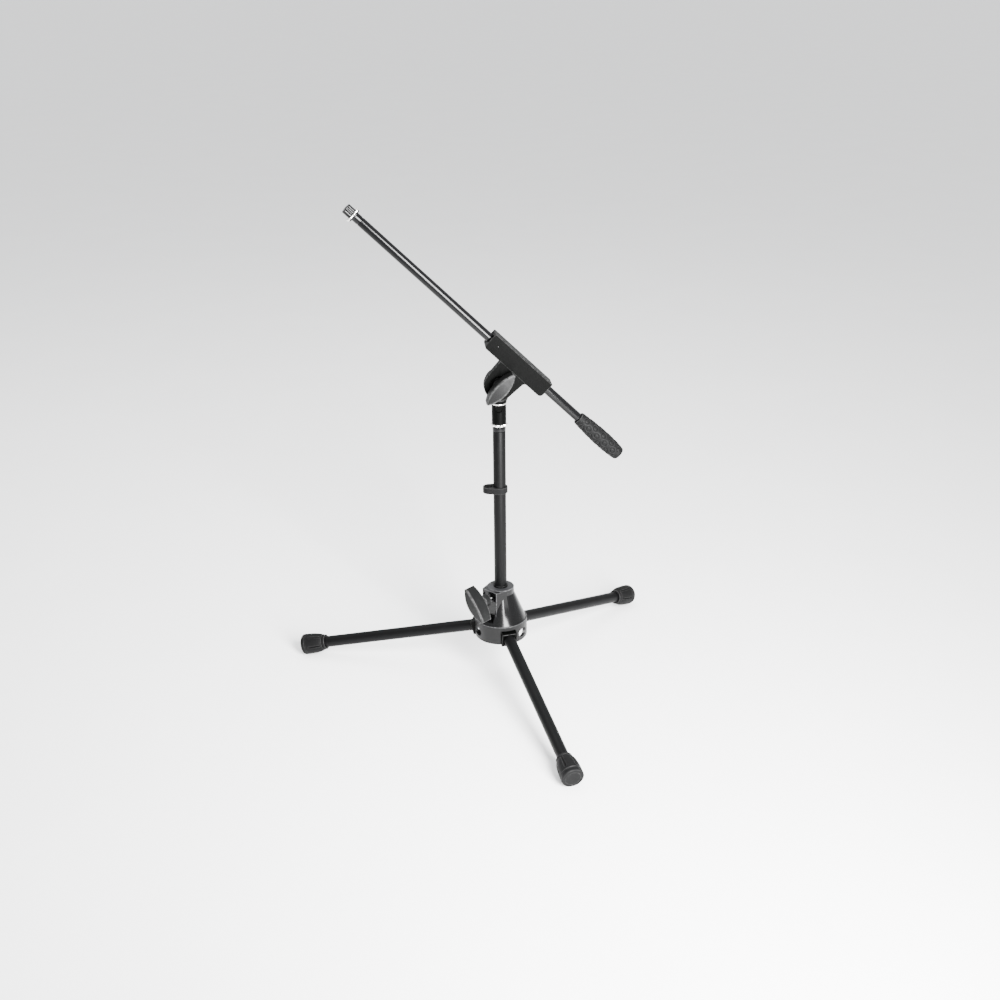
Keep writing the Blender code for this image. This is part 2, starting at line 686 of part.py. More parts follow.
def boom_block(tilt):
    """The T-shaped clamp: a long block that carries the boom, and the lug of the tilt joint."""
    low = BOOM_OFFSET - BLOCK_HEIGHT / 2 - BLOCK_DROP
    high = BOOM_OFFSET + BLOCK_HEIGHT / 2 - BLOCK_DROP
    end = BLOCK_LENGTH / 2
    corner = 6 * MM
    outline = arc((-end + corner, low + corner), corner, pi, 3 * pi / 2, 5)
    outline += arc((end - corner, low + corner), corner, 3 * pi / 2, 2 * pi, 5)
    outline += [(end, high - 1.5 * MM), (end - 1.5 * MM, high), (-end + 1.5 * MM, high), (-end, high - 1.5 * MM)]
    block = extruded("boom_block", outline, -BLOCK_DEPTH / 2, BLOCK_DEPTH / 2, moulded_black(), axis="Y")
    bevelled(block, 1.4 * MM)
    fillet = 5 * MM
    taper = atan((LUG_SHOULDER - LUG_RADIUS) / low)
    lug_outline = [(-LUG_SHOULDER, low + 8 * MM), (-LUG_SHOULDER, low)]
    lug_outline += arc((0, 0), LUG_RADIUS, pi - taper, 2 * pi + taper, 24)
    lug_outline += arc((LUG_SHOULDER + fillet, low - fillet), fillet, pi, pi / 2, 4)
    lug_outline += [(LUG_SHOULDER + fillet, low + 8 * MM)]
    lug = extruded("tilt_lug", lug_outline, LUG_FRONT, -1.1 * MM, axis="Y")
    bevelled(lug, 0.9 * MM)
    seat = rod("lug_seat", 14.5 * MM, -LUG_FRONT - SEAT_DEPTH, 30 * MM, axis="-Y")
    bolt_bore = rod("lug_bore", BOLT_RADIUS + GAP, -30 * MM, 30 * MM, steps=24, axis="-Y")
    bore = rod("boom_bore", 9.6 * MM, -end - 5 * MM, end + 5 * MM, axis="X")
    bore.location.z = BOOM_OFFSET
    pin_hole = rod("block_pin_hole", 1.6 * MM, 11 * MM, 20 * MM, steps=16, axis="-Y")
    pin_hole.location = (-end + 16 * MM, 0, BOOM_OFFSET)
    joined(block, lug)
    cut(block, seat, bolt_bore, bore, pin_hole)
    pin = rod("block_pin", 1.3 * MM, 11.3 * MM, 14.2 * MM, black_steel(), steps=16, axis="-Y")
    pin.location = (-end + 16 * MM, 0, BOOM_OFFSET)
    hang(tilt, block, pin)


def boom_bushes(boom):
    end = BLOCK_LENGTH / 2
    length = 26 * MM
    for name, start in (("boom_bush_tip", end - length), ("boom_bush_grip", -end)):
        bush = tube(name, 9.3 * MM, BOOM_RADIUS + GAP, start, start + length, moulded_black())
        hang(boom, bush)


def boom_tip(frame):
    """The plug in the boom's end, the adapter's spindle through it, and the lock nut between."""
    spigot = BOOM_RADIUS - BOOM_WALL - GAP
    groove = BOOM_END + GAP
    flange = BOOM_NUT_START - 2.4 * MM
    ferrule = [
        (4.9 * MM, BOOM_END - 16 * MM),
        (spigot, BOOM_END - 16 * MM),
        (spigot, groove),
        (BOOM_RADIUS - 0.5 * MM, groove),
        (BOOM_RADIUS - 0.5 * MM, groove + 1.4 * MM),
        (BOOM_RADIUS, groove + 1.8 * MM),
        (BOOM_RADIUS, flange - 1 * MM),
        (FERRULE_RADIUS - 0.5 * MM, flange),
        (FERRULE_RADIUS, flange + 0.5 * MM),
        (FERRULE_RADIUS, BOOM_NUT_START - GAP),
        (4.9 * MM, BOOM_NUT_START - GAP),
    ]
    hang(frame, turned("boom_ferrule", ferrule, black_casting(), closed=True))
    adapter = [
        (0, BOOM_END - 12 * MM),
        (4.6 * MM, BOOM_END - 12 * MM),
        (4.6 * MM, BOOM_NUT_START),
        (7.9 * MM, BOOM_NUT_START),
        (7.9 * MM, BOOM_TIP - 0.8 * MM),
        (7.1 * MM, BOOM_TIP),
        (0, BOOM_TIP),
    ]
    hang(frame, turned("boom_adapter", adapter, black_casting()))
    nut_end = BOOM_NUT_START + BOOM_NUT_THICKNESS
    hang(frame, lock_nut("boom_lock_nut", 13 * MM, 8.2 * MM, BOOM_NUT_START, nut_end, 10))


def boom_grip(frame):
    """A swelling rubber sleeve that covers the boom's other end."""
    start = -GRIP_START
    tip = start - GRIP_LENGTH
    bore = BOOM_RADIUS + GAP
    grip = [
        (bore, start),
        (9.5 * MM, start),
        (10.2 * MM, start - 1.2 * MM),
        (11.1 * MM, start - 9 * MM),
        (12.2 * MM, start - 22 * MM),
        (12.95 * MM, start - 35 * MM),
        (GRIP_RADIUS, start - 50 * MM),
        (GRIP_RADIUS, start - 60 * MM),
        (12.8 * MM, start - 71 * MM),
        (12 * MM, start - 80 * MM),
        (11.1 * MM, start - 87 * MM),
        (10.2 * MM, tip + 2 * MM),
        (8.2 * MM, tip),
        (0, tip),
        (0, tip + GRIP_END_WALL),
        (bore, tip + GRIP_END_WALL),
    ]
    hang(frame, turned("boom_grip", grip, rubber(), closed=True))


def boom(tilt):
    frame = boom_frame(tilt)
    boom_bushes(frame)
    grip_end = -GRIP_START - GRIP_LENGTH + GRIP_END_WALL + GAP
    inner = BOOM_RADIUS - BOOM_WALL
    hang(frame, tube("boom_tube", BOOM_RADIUS, inner, grip_end, BOOM_END, black_steel()))
    boom_tip(frame)
    boom_grip(frame)


def main():
    for old in list(bpy.data.objects):
        bpy.data.objects.remove(old, do_unlink=True)
    stand = stand_frame()
    clamp(stand)
    pole_bush(stand)
    for letter in LEG_AZIMUTHS:
        leg(letter, stand)
    pole(stand)
    hang(stand, lock_nut("pole_lock_nut", 13.4 * MM, 8.2 * MM, NUT_HEIGHT, NUT_HEIGHT + NUT_THICKNESS, 10))
    cable_clip(stand)
    swivel = swivel_frame(stand)
    swivel_base(stand, swivel)
    tilt_bolt(swivel)
    tilt = tilt_frame(swivel)
    boom_block(tilt)
    boom(tilt)


main()
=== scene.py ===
"""Looks of the low boom microphone stand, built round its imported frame. Metres, +Z up.

Every visible piece is remade at a finer grain than the frame's own solids. Shapes are drawn
in millimetres in the local frame of their joint, and a joint's own place and axis put them
where they belong.
"""

import json
from math import atan2, cos, exp, floor, pi, radians, sin, sqrt, tan

import bmesh
import bpy
import numpy as np
from mathutils import Matrix, Vector


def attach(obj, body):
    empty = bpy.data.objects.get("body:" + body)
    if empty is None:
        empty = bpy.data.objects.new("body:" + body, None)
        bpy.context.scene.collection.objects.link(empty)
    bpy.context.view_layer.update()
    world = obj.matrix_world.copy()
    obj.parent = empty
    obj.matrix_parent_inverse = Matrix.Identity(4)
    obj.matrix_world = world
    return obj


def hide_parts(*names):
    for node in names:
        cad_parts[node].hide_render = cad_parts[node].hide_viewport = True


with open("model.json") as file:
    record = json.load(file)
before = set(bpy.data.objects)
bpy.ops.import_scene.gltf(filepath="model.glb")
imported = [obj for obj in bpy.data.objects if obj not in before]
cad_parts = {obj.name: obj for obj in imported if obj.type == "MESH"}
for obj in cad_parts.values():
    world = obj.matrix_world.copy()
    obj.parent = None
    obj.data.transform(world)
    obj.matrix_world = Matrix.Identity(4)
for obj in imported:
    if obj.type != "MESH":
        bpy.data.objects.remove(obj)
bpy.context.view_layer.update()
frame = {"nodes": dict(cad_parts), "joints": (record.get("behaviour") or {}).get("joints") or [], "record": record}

MM = 0.001
STEPS = 112
GAP = 0.3
POLE_RADIUS = 10
LEG_TUBE_RADIUS, LEG_TUBE_BORE = 9.4, 8.0
BOOM_TUBE_RADIUS, BOOM_TUBE_BORE = 7.05, 5.85
HUB_BOTTOM, HUB_SHOULDER, HUB_TOP = 76.5, 108, 163
SCREW_RADIUS, SCREW_BORE = 7.9, 8.2
SCREW_THREAD = 0.94, 0.45
JOINTS = {joint["name"]: joint for joint in frame["joints"]}
RECORD = frame["record"]
SLOT_OF = {part["node"]: part["material_slot"] for part in RECORD["subparts"]}
BODY_OF = {node: body for body, nodes in RECORD["behaviour"]["bodies"].items() for node in nodes}


# ---------------------------------------------------------------- local frames
def axes(origin, x, y, z):
    """The matrix of a local frame from its origin and unit axes."""
    columns = Matrix((x, y, z)).transposed().to_4x4()
    return Matrix.Translation(origin) @ columns


def joint_point(name):
    return Vector(JOINTS[name]["pos_m"])


def joint_axis(name):
    return Vector(JOINTS[name]["axis"]).normalized()


def leg_frame(letter):
    """Origin on the leg's pin, X along the tube to the middle of its far end, Y along the pin."""
    origin, hinge = joint_point(f"leg_{letter}_fold"), joint_axis(f"leg_{letter}_fold")
    points = [v.co for v in frame["nodes"][f"leg_{letter}_tube"].data.vertices]
    reach = max((point - origin).length for point in points)
    end = [point for point in points if (point - origin).length > 0.9 * reach]
    along = sum(end, Vector()) / len(end) - origin
    along = (along - along.dot(hinge) * hinge).normalized()
    return axes(origin, along, hinge, along.cross(hinge))


UP = Vector((0, 0, 1))
BOLT = joint_axis("boom_tilt")
ALONG_BOOM = joint_axis("boom_slide")
STAND = Matrix.Translation(Vector((*joint_point("boom_pan").xy, 0)))
LEGS = {letter: leg_frame(letter) for letter in "abc"}
SCREW = joint_axis("clamp_screw_turn")
CLAMP = axes(joint_point("clamp_screw_turn"), -UP, SCREW.cross(-UP), SCREW)
SWIVEL = axes(joint_point("boom_tilt"), BOLT.cross(UP), BOLT, UP)
HANDLE = axes(joint_point("boom_tilt"), BOLT.cross(UP), UP, -BOLT)
TILT = axes(joint_point("boom_tilt"), -ALONG_BOOM, BOLT, (-ALONG_BOOM).cross(BOLT))
BOOM = axes(joint_point("boom_nut_turn"), BOLT.cross(ALONG_BOOM), BOLT, ALONG_BOOM)
ABOUT_X = Matrix.Rotation(pi / 2, 4, "Y")
ABOUT_MINUS_Y = Matrix.Rotation(pi / 2, 4, "X")


def local_box(node, place):
    """Lowest and highest corner of a CAD node in a local frame, in millimetres."""
    inverse = place.inverted()
    points = np.array([inverse @ v.co for v in frame["nodes"][node].data.vertices]) / MM
    return points.min(0), points.max(0)


# ---------------------------------------------------------------- shape tools
def mesh_object(name, vertices, faces, sharp=radians(32)):
    """A closed mesh drawn in millimetres, facing outwards, smooth but for its sharp edges."""
    bm = bmesh.new()
    made = [bm.verts.new(Vector(point) * MM) for point in vertices]
    for face in faces:
        bm.faces.new([made[i] for i in face])
    bmesh.ops.remove_doubles(bm, verts=bm.verts, dist=1e-7)
    bmesh.ops.recalc_face_normals(bm, faces=bm.faces)
    mesh = bpy.data.meshes.new(name)
    bm.to_mesh(mesh)
    bm.free()
    mesh.shade_smooth()
    mesh.set_sharp_from_angle(angle=sharp)
    piece = bpy.data.objects.new(name, mesh)
    bpy.context.scene.collection.objects.link(piece)
    return piece


def rounded(corners, closed=True, steps=5):
    """The points of an outline of (x, y, radius) corners, each rounded by an arc."""
    points = []
    for i, corner in enumerate(corners):
        here = Vector(corner[:2])
        radius = corner[2] if len(corner) > 2 else 0
        at_end = not closed and i in (0, len(corners) - 1)
        if not radius or at_end:
            points.append((here.x, here.y))
            continue
        before = Vector(corners[i - 1][:2]) - here
        after = Vector(corners[(i + 1) % len(corners)][:2]) - here
        half_turn = (pi - before.angle(after)) / 2
        reach = min(radius * tan(half_turn), 0.49 * before.length, 0.49 * after.length)
        radius = reach / tan(half_turn)
        middle = (before.normalized() + after.normalized()).normalized()
        centre = here + middle * sqrt(radius**2 + reach**2)
        start = here + before.normalized() * reach - centre
        end = here + after.normalized() * reach - centre
        first = atan2(start.y, start.x)
        sweep = (atan2(end.y, end.x) - first + pi) % (2 * pi) - pi
        for k in range(steps + 1):
            angle = first + sweep * k / steps
            points.append((centre.x + radius * cos(angle), centre.y + radius * sin(angle)))
    return points


def arc(centre, radius, start, end, steps):
    """Points along a circle, from one angle to another."""
    angles = [start + (end - start) * i / steps for i in range(steps + 1)]
    return [(centre[0] + radius * cos(a), centre[1] + radius * sin(a)) for a in angles]


def lathe(name, profile, steps=STEPS, closed=False, shape=None, turn=None):
    """Turns (radius, height) points about Z. shape(angle, radius, height) may vary a radius."""
    vertices, rings = [], []
    for radius, height in profile:
        if radius < 1e-6:
            rings.append([len(vertices)] * steps)
            vertices.append((0, 0, height))
            continue
        rings.append(list(range(len(vertices), len(vertices) + steps)))
        for k in range(steps):
            angle = 2 * pi * k / steps
            reach = shape(angle, radius, height) if shape else radius
            vertices.append((reach * cos(angle), reach * sin(angle), height))
    faces = []
    for low, high in zip(rings, rings[1:] + rings[:1] if closed else rings[1:]):
        for k in range(steps):
            n = (k + 1) % steps
            corners = list(dict.fromkeys((low[k], low[n], high[n], high[k])))
            if len(corners) > 2:
                faces.append(corners)
    piece = mesh_object(name, vertices, faces)
    if turn:
        piece.data.transform(turn)
    return piece


def sleeve(name, outer, inner, start, end, edge=0.3, turn=None, steps=STEPS):
    """A tube with rounded ends."""
    corners = [(outer, start, edge), (outer, end, edge), (inner, end, edge), (inner, start, edge)]
    return lathe(name, rounded(corners, steps=3), steps, closed=True, turn=turn)


def pin(name, radius, start, end, edge=0.3, turn=None, steps=64):
    """A solid round rod with rounded ends."""
    corners = [(0, start), (radius, start, edge), (radius, end, edge), (0, end)]
    return lathe(name, rounded(corners, closed=False, steps=3), steps, turn=turn)


def prism(name, outline, low, high, axis="Z", edge=0.0):
    """Extrudes an outline along Z, or along Y with the outline in X and Z, with rounded rims."""
    count = len(outline)
    if axis == "Y":
        vertices = [(x, level, z) for level in (low, high) for x, z in outline]
    else:
        vertices = [(x, y, level) for level in (low, high) for x, y in outline]
    faces = [tuple(range(count)), tuple(range(count, 2 * count))]
    faces += [(i, (i + 1) % count, count + (i + 1) % count, count + i) for i in range(count)]
    piece = mesh_object(name, vertices, faces)
    if edge:
        bevel(piece, edge)
    return piece


def block(name, low, high, edge=0.0):
    outline = [(low[0], low[1]), (high[0], low[1]), (high[0], high[1]), (low[0], high[1])]
    return prism(name, outline, low[2], high[2], edge=edge)


def apply_modifiers(piece):
    graph = bpy.context.evaluated_depsgraph_get()
    mesh = bpy.data.meshes.new_from_object(piece.evaluated_get(graph))
    piece.modifiers.clear()
    piece.data = mesh


def bevel(piece, width, segments=4, angle=radians(48)):
    modifier = piece.modifiers.new("edge", "BEVEL")
    modifier.width = width * MM
    modifier.segments = segments
    modifier.limit_method = "ANGLE"
    modifier.angle_limit = angle
    apply_modifiers(piece)


def combine(piece, tools, operation):
    """Joins, cuts or trims a piece with tools, which are used up."""
    for tool in tools:
        modifier = piece.modifiers.new(tool.name, "BOOLEAN")
        modifier.operation = operation
        modifier.solver = "EXACT"
        modifier.object = tool
    apply_modifiers(piece)
    for tool in tools:
        bpy.data.objects.remove(tool)


def cut(piece, *tools):
    combine(piece, tools, "DIFFERENCE")


def join(piece, *tools):
    combine(piece, tools, "UNION")


def even_normals(piece, sharp=radians(38)):
    """Shading for a piece cut from flat and round faces: the large faces stay flat."""
    piece.data.shade_smooth()
    piece.data.set_sharp_from_angle(angle=sharp)
    modifier = piece.modifiers.new("even_normals", "WEIGHTED_NORMAL")
    modifier.keep_sharp = True
    apply_modifiers(piece)


def melt(piece, voxel, rounds):
    """Remeshes a joined piece and eases it, so that its edges flow as moulded ones do."""
    remesh = piece.modifiers.new("skin", "REMESH")
    remesh.mode = "VOXEL"
    remesh.voxel_size = voxel * MM
    ease = piece.modifiers.new("ease", "SMOOTH")
    ease.factor = 0.5
    ease.iterations = rounds
    apply_modifiers(piece)
    piece.data.shade_smooth()


BROAD_FACE = 0.8  # area over outline, in millimetres


def mark_curvature(piece):
    """Stores how sharply each vertex stands out, or lies in a groove, as a bend per millimetre.

    The corners of a broad flat face take none, so that the wear and painted edge highlight don't spread across it.
    """
    bm = bmesh.new()
    bm.from_mesh(piece.data)
    rim = bm.verts.layers.float.new("rim")
    groove = bm.verts.layers.float.new("groove")
    areas = [face.calc_area() for face in bm.faces]
    broad = [face.calc_area() > BROAD_FACE * MM * face.calc_perimeter() for face in bm.faces]
    for edge in bm.edges:
        if len(edge.link_faces) != 2 or edge.calc_length() < 1e-8:
            continue
        first, second = edge.link_faces
        width = (areas[first.index] + areas[second.index]) / (2 * edge.calc_length()) / MM
        bend = edge.calc_face_angle_signed(0) / max(width, 0.05)
        for vertex in edge.verts:
            vertex[rim] = max(vertex[rim], bend)
            vertex[groove] = max(vertex[groove], -bend)
    for vertex in bm.verts:
        if any(broad[face.index] for face in vertex.link_faces):
            vertex[rim] = vertex[groove] = 0
    bm.to_mesh(piece.data)
    bm.free()


def smoothstep(value, start, end):
    share = min(max((value - start) / (end - start), 0), 1)
    return share * share * (3 - 2 * share)


# ---------------------------------------------------------------- materials
class Surface:
    """A Principled material whose colour, roughness and relief vary over the surface."""

    def __init__(self, name, roughness, metallic=0.0, specular=0.5):
        self.material = bpy.data.materials.new(name)
        self.material.use_nodes = True
        self.tree = self.material.node_tree
        self.shader = self.tree.nodes["Principled BSDF"]
        self.shader.inputs["Roughness"].default_value = roughness
        self.shader.inputs["Metallic"].default_value = metallic
        self.shader.inputs["Specular IOR Level"].default_value = specular
        self.place = self.tree.nodes.new("ShaderNodeTexCoord").outputs["Object"]
        self.relief = None

    def node(self, kind, **inputs):
        made = self.tree.nodes.new(kind)
        for name, value in inputs.items():
            socket = made.inputs[name.replace("_", " ")]
            if isinstance(value, bpy.types.NodeSocket):
                self.tree.links.new(value, socket)
            else:
                socket.default_value = value
        return made

    def stretched(self, scale, place):
        """Coordinates in a local frame, scaled along its axes."""
        turned = self.node("ShaderNodeMapping", Vector=self.place)
        turned.inputs["Rotation"].default_value = place.inverted().to_euler()
        scaled = self.node("ShaderNodeMapping", Vector=turned.outputs["Vector"])
        scaled.inputs["Scale"].default_value = scale
        return scaled.outputs["Vector"]

    def noise(self, size, detail=3.0, place=None):
        """Noise from 0 to 1 whose features are about size millimetres."""
        made = self.node("ShaderNodeTexNoise", Vector=place or self.place)
        made.inputs["Scale"].default_value = 1 / (size * MM)
        made.inputs["Detail"].default_value = detail
        return made.outputs["Fac"]

    def ranged(self, value, low, high, start=0.3, end=0.7):
        made = self.node("ShaderNodeMapRange", Value=value)
        made.inputs["From Min"].default_value = start
        made.inputs["From Max"].default_value = end
        made.inputs["To Min"].default_value = low
        made.inputs["To Max"].default_value = high
        return made.outputs["Result"]

    def mixed(self, share, first, second):
        """Blends two colours, each a tuple or a socket."""
        made = self.tree.nodes.new("ShaderNodeMix")
        made.data_type = "RGBA"
        sockets = [s for s in made.inputs if s.enabled]
        for socket, value in zip(sockets, (share, first, second)):
            if isinstance(value, bpy.types.NodeSocket):
                self.tree.links.new(value, socket)
            else:
                socket.default_value = (*value, 1)
        return next(s for s in made.outputs if s.enabled)

    def maths(self, operation, first, second):
        made = self.tree.nodes.new("ShaderNodeMath")
        made.operation = operation
        self.tree.links.new(first, made.inputs[0])
        self.tree.links.new(second, made.inputs[1])
        return made.outputs["Value"]

    def marked(self, name, start, end):
        mark = self.tree.nodes.new("ShaderNodeAttribute")
        mark.attribute_name = name
        return self.ranged(mark.outputs["Fac"], 0, 1, start, end)

    def edge_wear_and_light(self, start=0.3, end=0.9):
        """1 on edges that stand out, 0 elsewhere, broken up by noise; these edges get wear and a painted
        highlight.
        """
        patchy = self.ranged(self.noise(4), 0.35, 1, 0.42, 0.6)
        return self.maths("MULTIPLY", self.marked("rim", start, end), patchy)

    def hollow(self, start=0.2, end=0.8):
        """1 in grooves, where the colour is darkened as painted shade, and 0 elsewhere."""
        return self.marked("groove", start, end)

    def colour(self, base, spread, size, edge_wear_and_light=None, edge_wear_and_light_colour=None, hollow=None):
        """Paints an uneven colour, lighter on standing edges as wear and painted highlight, darker in grooves as
        painted shade.
        """
        dark = tuple(c * (1 - spread) for c in base)
        light = tuple(c * (1 + spread) for c in base)
        painted = self.mixed(self.ranged(self.noise(size), 0, 1), dark, light)
        if edge_wear_and_light:
            # Standing edges lightened: partly wear, partly a painted highlight.
            painted = self.mixed(edge_wear_and_light, painted, edge_wear_and_light_colour)
        if hollow:
            # Grooves darkened to a fifth of the base colour: painted shade.
            painted = self.mixed(hollow, painted, tuple(c * 0.2 for c in base))
        self.tree.links.new(painted, self.shader.inputs["Base Color"])

    def rough(self, low, high, size=12, detail=4.0, place=None):
        value = self.ranged(self.noise(size, detail, place), low, high)
        self.tree.links.new(value, self.shader.inputs["Roughness"])

    def bump(self, height, depth):
        """Adds relief of the given depth in millimetres to the normal."""
        made = self.node("ShaderNodeBump", Height=height)
        made.inputs["Distance"].default_value = depth * MM
        if self.relief:
            self.tree.links.new(self.relief, made.inputs["Normal"])
        self.relief = made.outputs["Normal"]
        self.tree.links.new(self.relief, self.shader.inputs["Normal"])


def powder_coat():
    """Satin black powder coat with an even orange peel."""
    made = Surface("powder_coat", 0.44, specular=0.08)
    made.colour((0.0008, 0.0008, 0.0009), 0.15, 30)
    made.rough(0.42, 0.5, 10)
    made.bump(made.noise(1.1, 2), 0.012)
    made.bump(made.noise(0.2, 2), 0.003)
    return made.material


def gloss_enamel():
    """Glossy black stoved enamel on drawn tube, with faint drawing lines."""
    made = Surface("gloss_enamel", 0.2, specular=0.16)
    made.colour((0.0014, 0.0014, 0.0016), 0.15, 30)
    made.rough(0.17, 0.22, 16)
    drawn = made.stretched((1, 1, 0.02), BOOM)
    made.bump(made.noise(0.5, 2, drawn), 0.001)
    made.bump(made.noise(6, 2), 0.001)
    return made.material


def hub_lacquer():
    """Lacquer on a casting: glossy cone, satin skirt and a matte top painted lighter, as if lit from above."""
    made = Surface("hub_lacquer", 0.2, specular=0.17)
    height = made.tree.nodes.new("ShaderNodeSeparateXYZ")
    made.tree.links.new(made.place, height.inputs["Vector"])
    low, high = local_box("hub_body", STAND)
    shoulder = low[2] + HUB_SHOULDER - HUB_BOTTOM
    # top: the top face, matte, and painted lighter there as light from above.
    top = made.ranged(height.outputs["Z"], 0, 1, (high[2] - 0.6) * MM, (high[2] - 0.1) * MM)
    skirt = made.ranged(height.outputs["Z"], 1, 0, (shoulder - 1) * MM, (shoulder + 1) * MM)
    patchy = made.ranged(made.noise(30), 0, 1)
    body = made.mixed(patchy, (0.0012, 0.0012, 0.0013), (0.0017, 0.0017, 0.0018))
    # Painted light: the top face lighter, as if lit from above.
    body = made.mixed(top, body, (0.014, 0.014, 0.015))
    # Painted highlight: the rims lightened to pale grey.
    body = made.mixed(made.edge_wear_and_light(), body, (0.06, 0.06, 0.062))
    made.tree.links.new(body, made.shader.inputs["Base Color"])
    speckle = made.ranged(made.noise(9, 4), 0.16, 0.2)
    satin = made.ranged(made.noise(9, 4), 0.4, 0.48)
    matte = made.maths("MAXIMUM", top, skirt)
    finish = made.node("ShaderNodeMix", Factor=matte, A=speckle, B=satin)
    made.tree.links.new(finish.outputs["Result"], made.shader.inputs["Roughness"])
    made.bump(made.noise(4.0, 2), 0.002)
    made.bump(made.noise(0.3, 2), 0.001)
    return made.material


def black_nylon():
    """Moulded black nylon with a fine spark-eroded grain."""
    made = Surface("black_nylon", 0.4, specular=0.03)
    # Edges lightened as a painted highlight, grooves darkened as painted shade.
    lit_and_worn_edges, edge_highlight_tint = made.edge_wear_and_light(0.15, 0.5), (0.016, 0.016, 0.016)
    made.colour((0.00035, 0.0004, 0.00035), 0.14, 20, lit_and_worn_edges, edge_highlight_tint, made.hollow())
    made.rough(0.34, 0.44, 8)
    made.bump(made.noise(0.35, 3), 0.01)
    return made.material


def grey_nylon():
    """Matte dark grey nylon, coarser in grain, its edges painted lighter as a highlight."""
    made = Surface("grey_nylon", 0.5, specular=0.12)
    # Edges lightened as a painted highlight.
    lit_and_worn_edges, edge_highlight_tint = made.edge_wear_and_light(0.1, 0.5), (0.05, 0.05, 0.05)
    made.colour((0.0023, 0.0024, 0.0024), 0.14, 14, lit_and_worn_edges, edge_highlight_tint)
    made.rough(0.44, 0.56, 7)
    made.bump(made.noise(0.45, 3), 0.015)
    return made.material


def dark_rubber():
    """Dark rubber with a soft sheen, its edges lightened by dust and a painted highlight."""
    made = Surface("dark_rubber", 0.62, specular=0.08)
    # Edges lightened: dust and a painted highlight; grooves darkened as painted shade.
    lit_and_worn_edges, dust_and_edge_light_tint = made.edge_wear_and_light(0.25, 0.8), (0.018, 0.018, 0.018)
    made.colour((0.0014, 0.0014, 0.0015), 0.2, 9, lit_and_worn_edges, dust_and_edge_light_tint, made.hollow(0.1, 0.5))
    made.rough(0.55, 0.72, 5)
    made.shader.inputs["Sheen Weight"].default_value = 0.008
    made.shader.inputs["Sheen Roughness"].default_value = 0.5
    made.bump(made.noise(0.5, 4), 0.02)
    return made.material


def plated(name, colour, low, high, scratch):
    """Plated or bare metal with fine turning marks and a little staining."""
    made = Surface(name, (low + high) / 2, 1.0)
    made.colour(colour, 0.08, 7)
    made.rough(low, high, 3, 5)
    made.bump(made.noise(0.3, 3, made.stretched((1, 1, 12), STAND)), scratch)
    return made.material


def friction_fibre():
    made = Surface("friction_fibre", 0.85)
    made.colour((0.1, 0.085, 0.075), 0.35, 0.8)
    made.rough(0.75, 0.95, 1)
    made.bump(made.noise(0.6, 4), 0.05)
    return made.material


def build_materials():
    return {
        "powder_coat": powder_coat(),
        "gloss_enamel": gloss_enamel(),
        "hub_lacquer": hub_lacquer(),
        "black_nylon": black_nylon(),
        "grey_nylon": grey_nylon(),
        "dark_rubber": dark_rubber(),
        "bright_nickel": plated("bright_nickel", (0.82, 0.81, 0.78), 0.14, 0.26, 0.004),
        "zinc_steel": plated("zinc_steel", (0.56, 0.57, 0.59), 0.28, 0.42, 0.008),
        "plain_brass": plated("plain_brass", (0.6, 0.43, 0.18), 0.25, 0.4, 0.008),
        "friction_fibre": friction_fibre(),
    }


MATERIALS = build_materials()


def dress(piece, node, place):
    """Puts a finished piece in its frame, with the node's body, slot and material, in its stead."""
    mark_curvature(piece)
    piece.data.transform(place)
    piece.data.materials.clear()
    piece.data.materials.append(MATERIALS[SLOT_OF[node]])
    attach(piece, BODY_OF[node])
    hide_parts(node)


# ---------------------------------------------------------------- tripod base
CONE_TOP = 153
SKIRT_RADIUS, CONE_FOOT_RADIUS, COLLAR_RADIUS = 42.4, 40.3, 21.8
WALL = 4.2
LEG_PIN_REACH = 32.5
LEG_PIN_RADIUS = 3
LEG_PIN_HEIGHT = 90.1
KNUCKLE_HALF = 12.5
RIB = 5
BUSH_RADIUS = 11.3


def hub_shell():
    """The turned casting: skirt, cone and collar, hollow underneath."""
    corners = [
        (SKIRT_RADIUS - WALL, HUB_BOTTOM, 0.8),
        (SKIRT_RADIUS, HUB_BOTTOM, 1.6),
        (SKIRT_RADIUS, HUB_SHOULDER - 0.3, 1.2),
        (CONE_FOOT_RADIUS + 0.5, HUB_SHOULDER - 0.3, 0.35),
        (CONE_FOOT_RADIUS + 0.1, HUB_SHOULDER + 0.4, 0.4),
        (COLLAR_RADIUS, CONE_TOP, 3),
        (COLLAR_RADIUS, HUB_TOP, 0.9),
        (POLE_RADIUS + 0.5, HUB_TOP, 0.3),
        (POLE_RADIUS + 0.5, HUB_SHOULDER + 4, 0.3),
        (36.5, HUB_SHOULDER + 4, 3),
        (SKIRT_RADIUS - WALL, HUB_SHOULDER - 5, 3),
    ]
    return lathe("hub_body_shape", rounded(corners), 160, closed=True)


def turned_about_pole(piece, azimuth):
    piece.data.transform(Matrix.Rotation(azimuth, 4, "Z"))
    return piece


def clamp_boss(azimuth):
    """The flat boss on the cone that takes the clamp screw, and the cutter for its pocket."""
    lip_half, flank = 15.5, COLLAR_RADIUS - 0.5
    outline = rounded([
        (5, -flank), (27, -lip_half, 1.2), (27, lip_half, 1.2), (5, flank),
        (5, 12), (12, 12), (12, -12), (5, -12),
    ])
    boss = prism("clamp_boss", outline, HUB_SHOULDER + 6, HUB_TOP - 0.4, edge=0.6)
    pocket_outline = rounded([(24.5, -13, 2), (60, -20), (60, 20), (24.5, 13, 2)])
    pocket = prism("clamp_pocket", pocket_outline, HUB_SHOULDER + 4.6, HUB_TOP - 5)
    return turned_about_pole(boss, azimuth), turned_about_pole(pocket, azimuth)


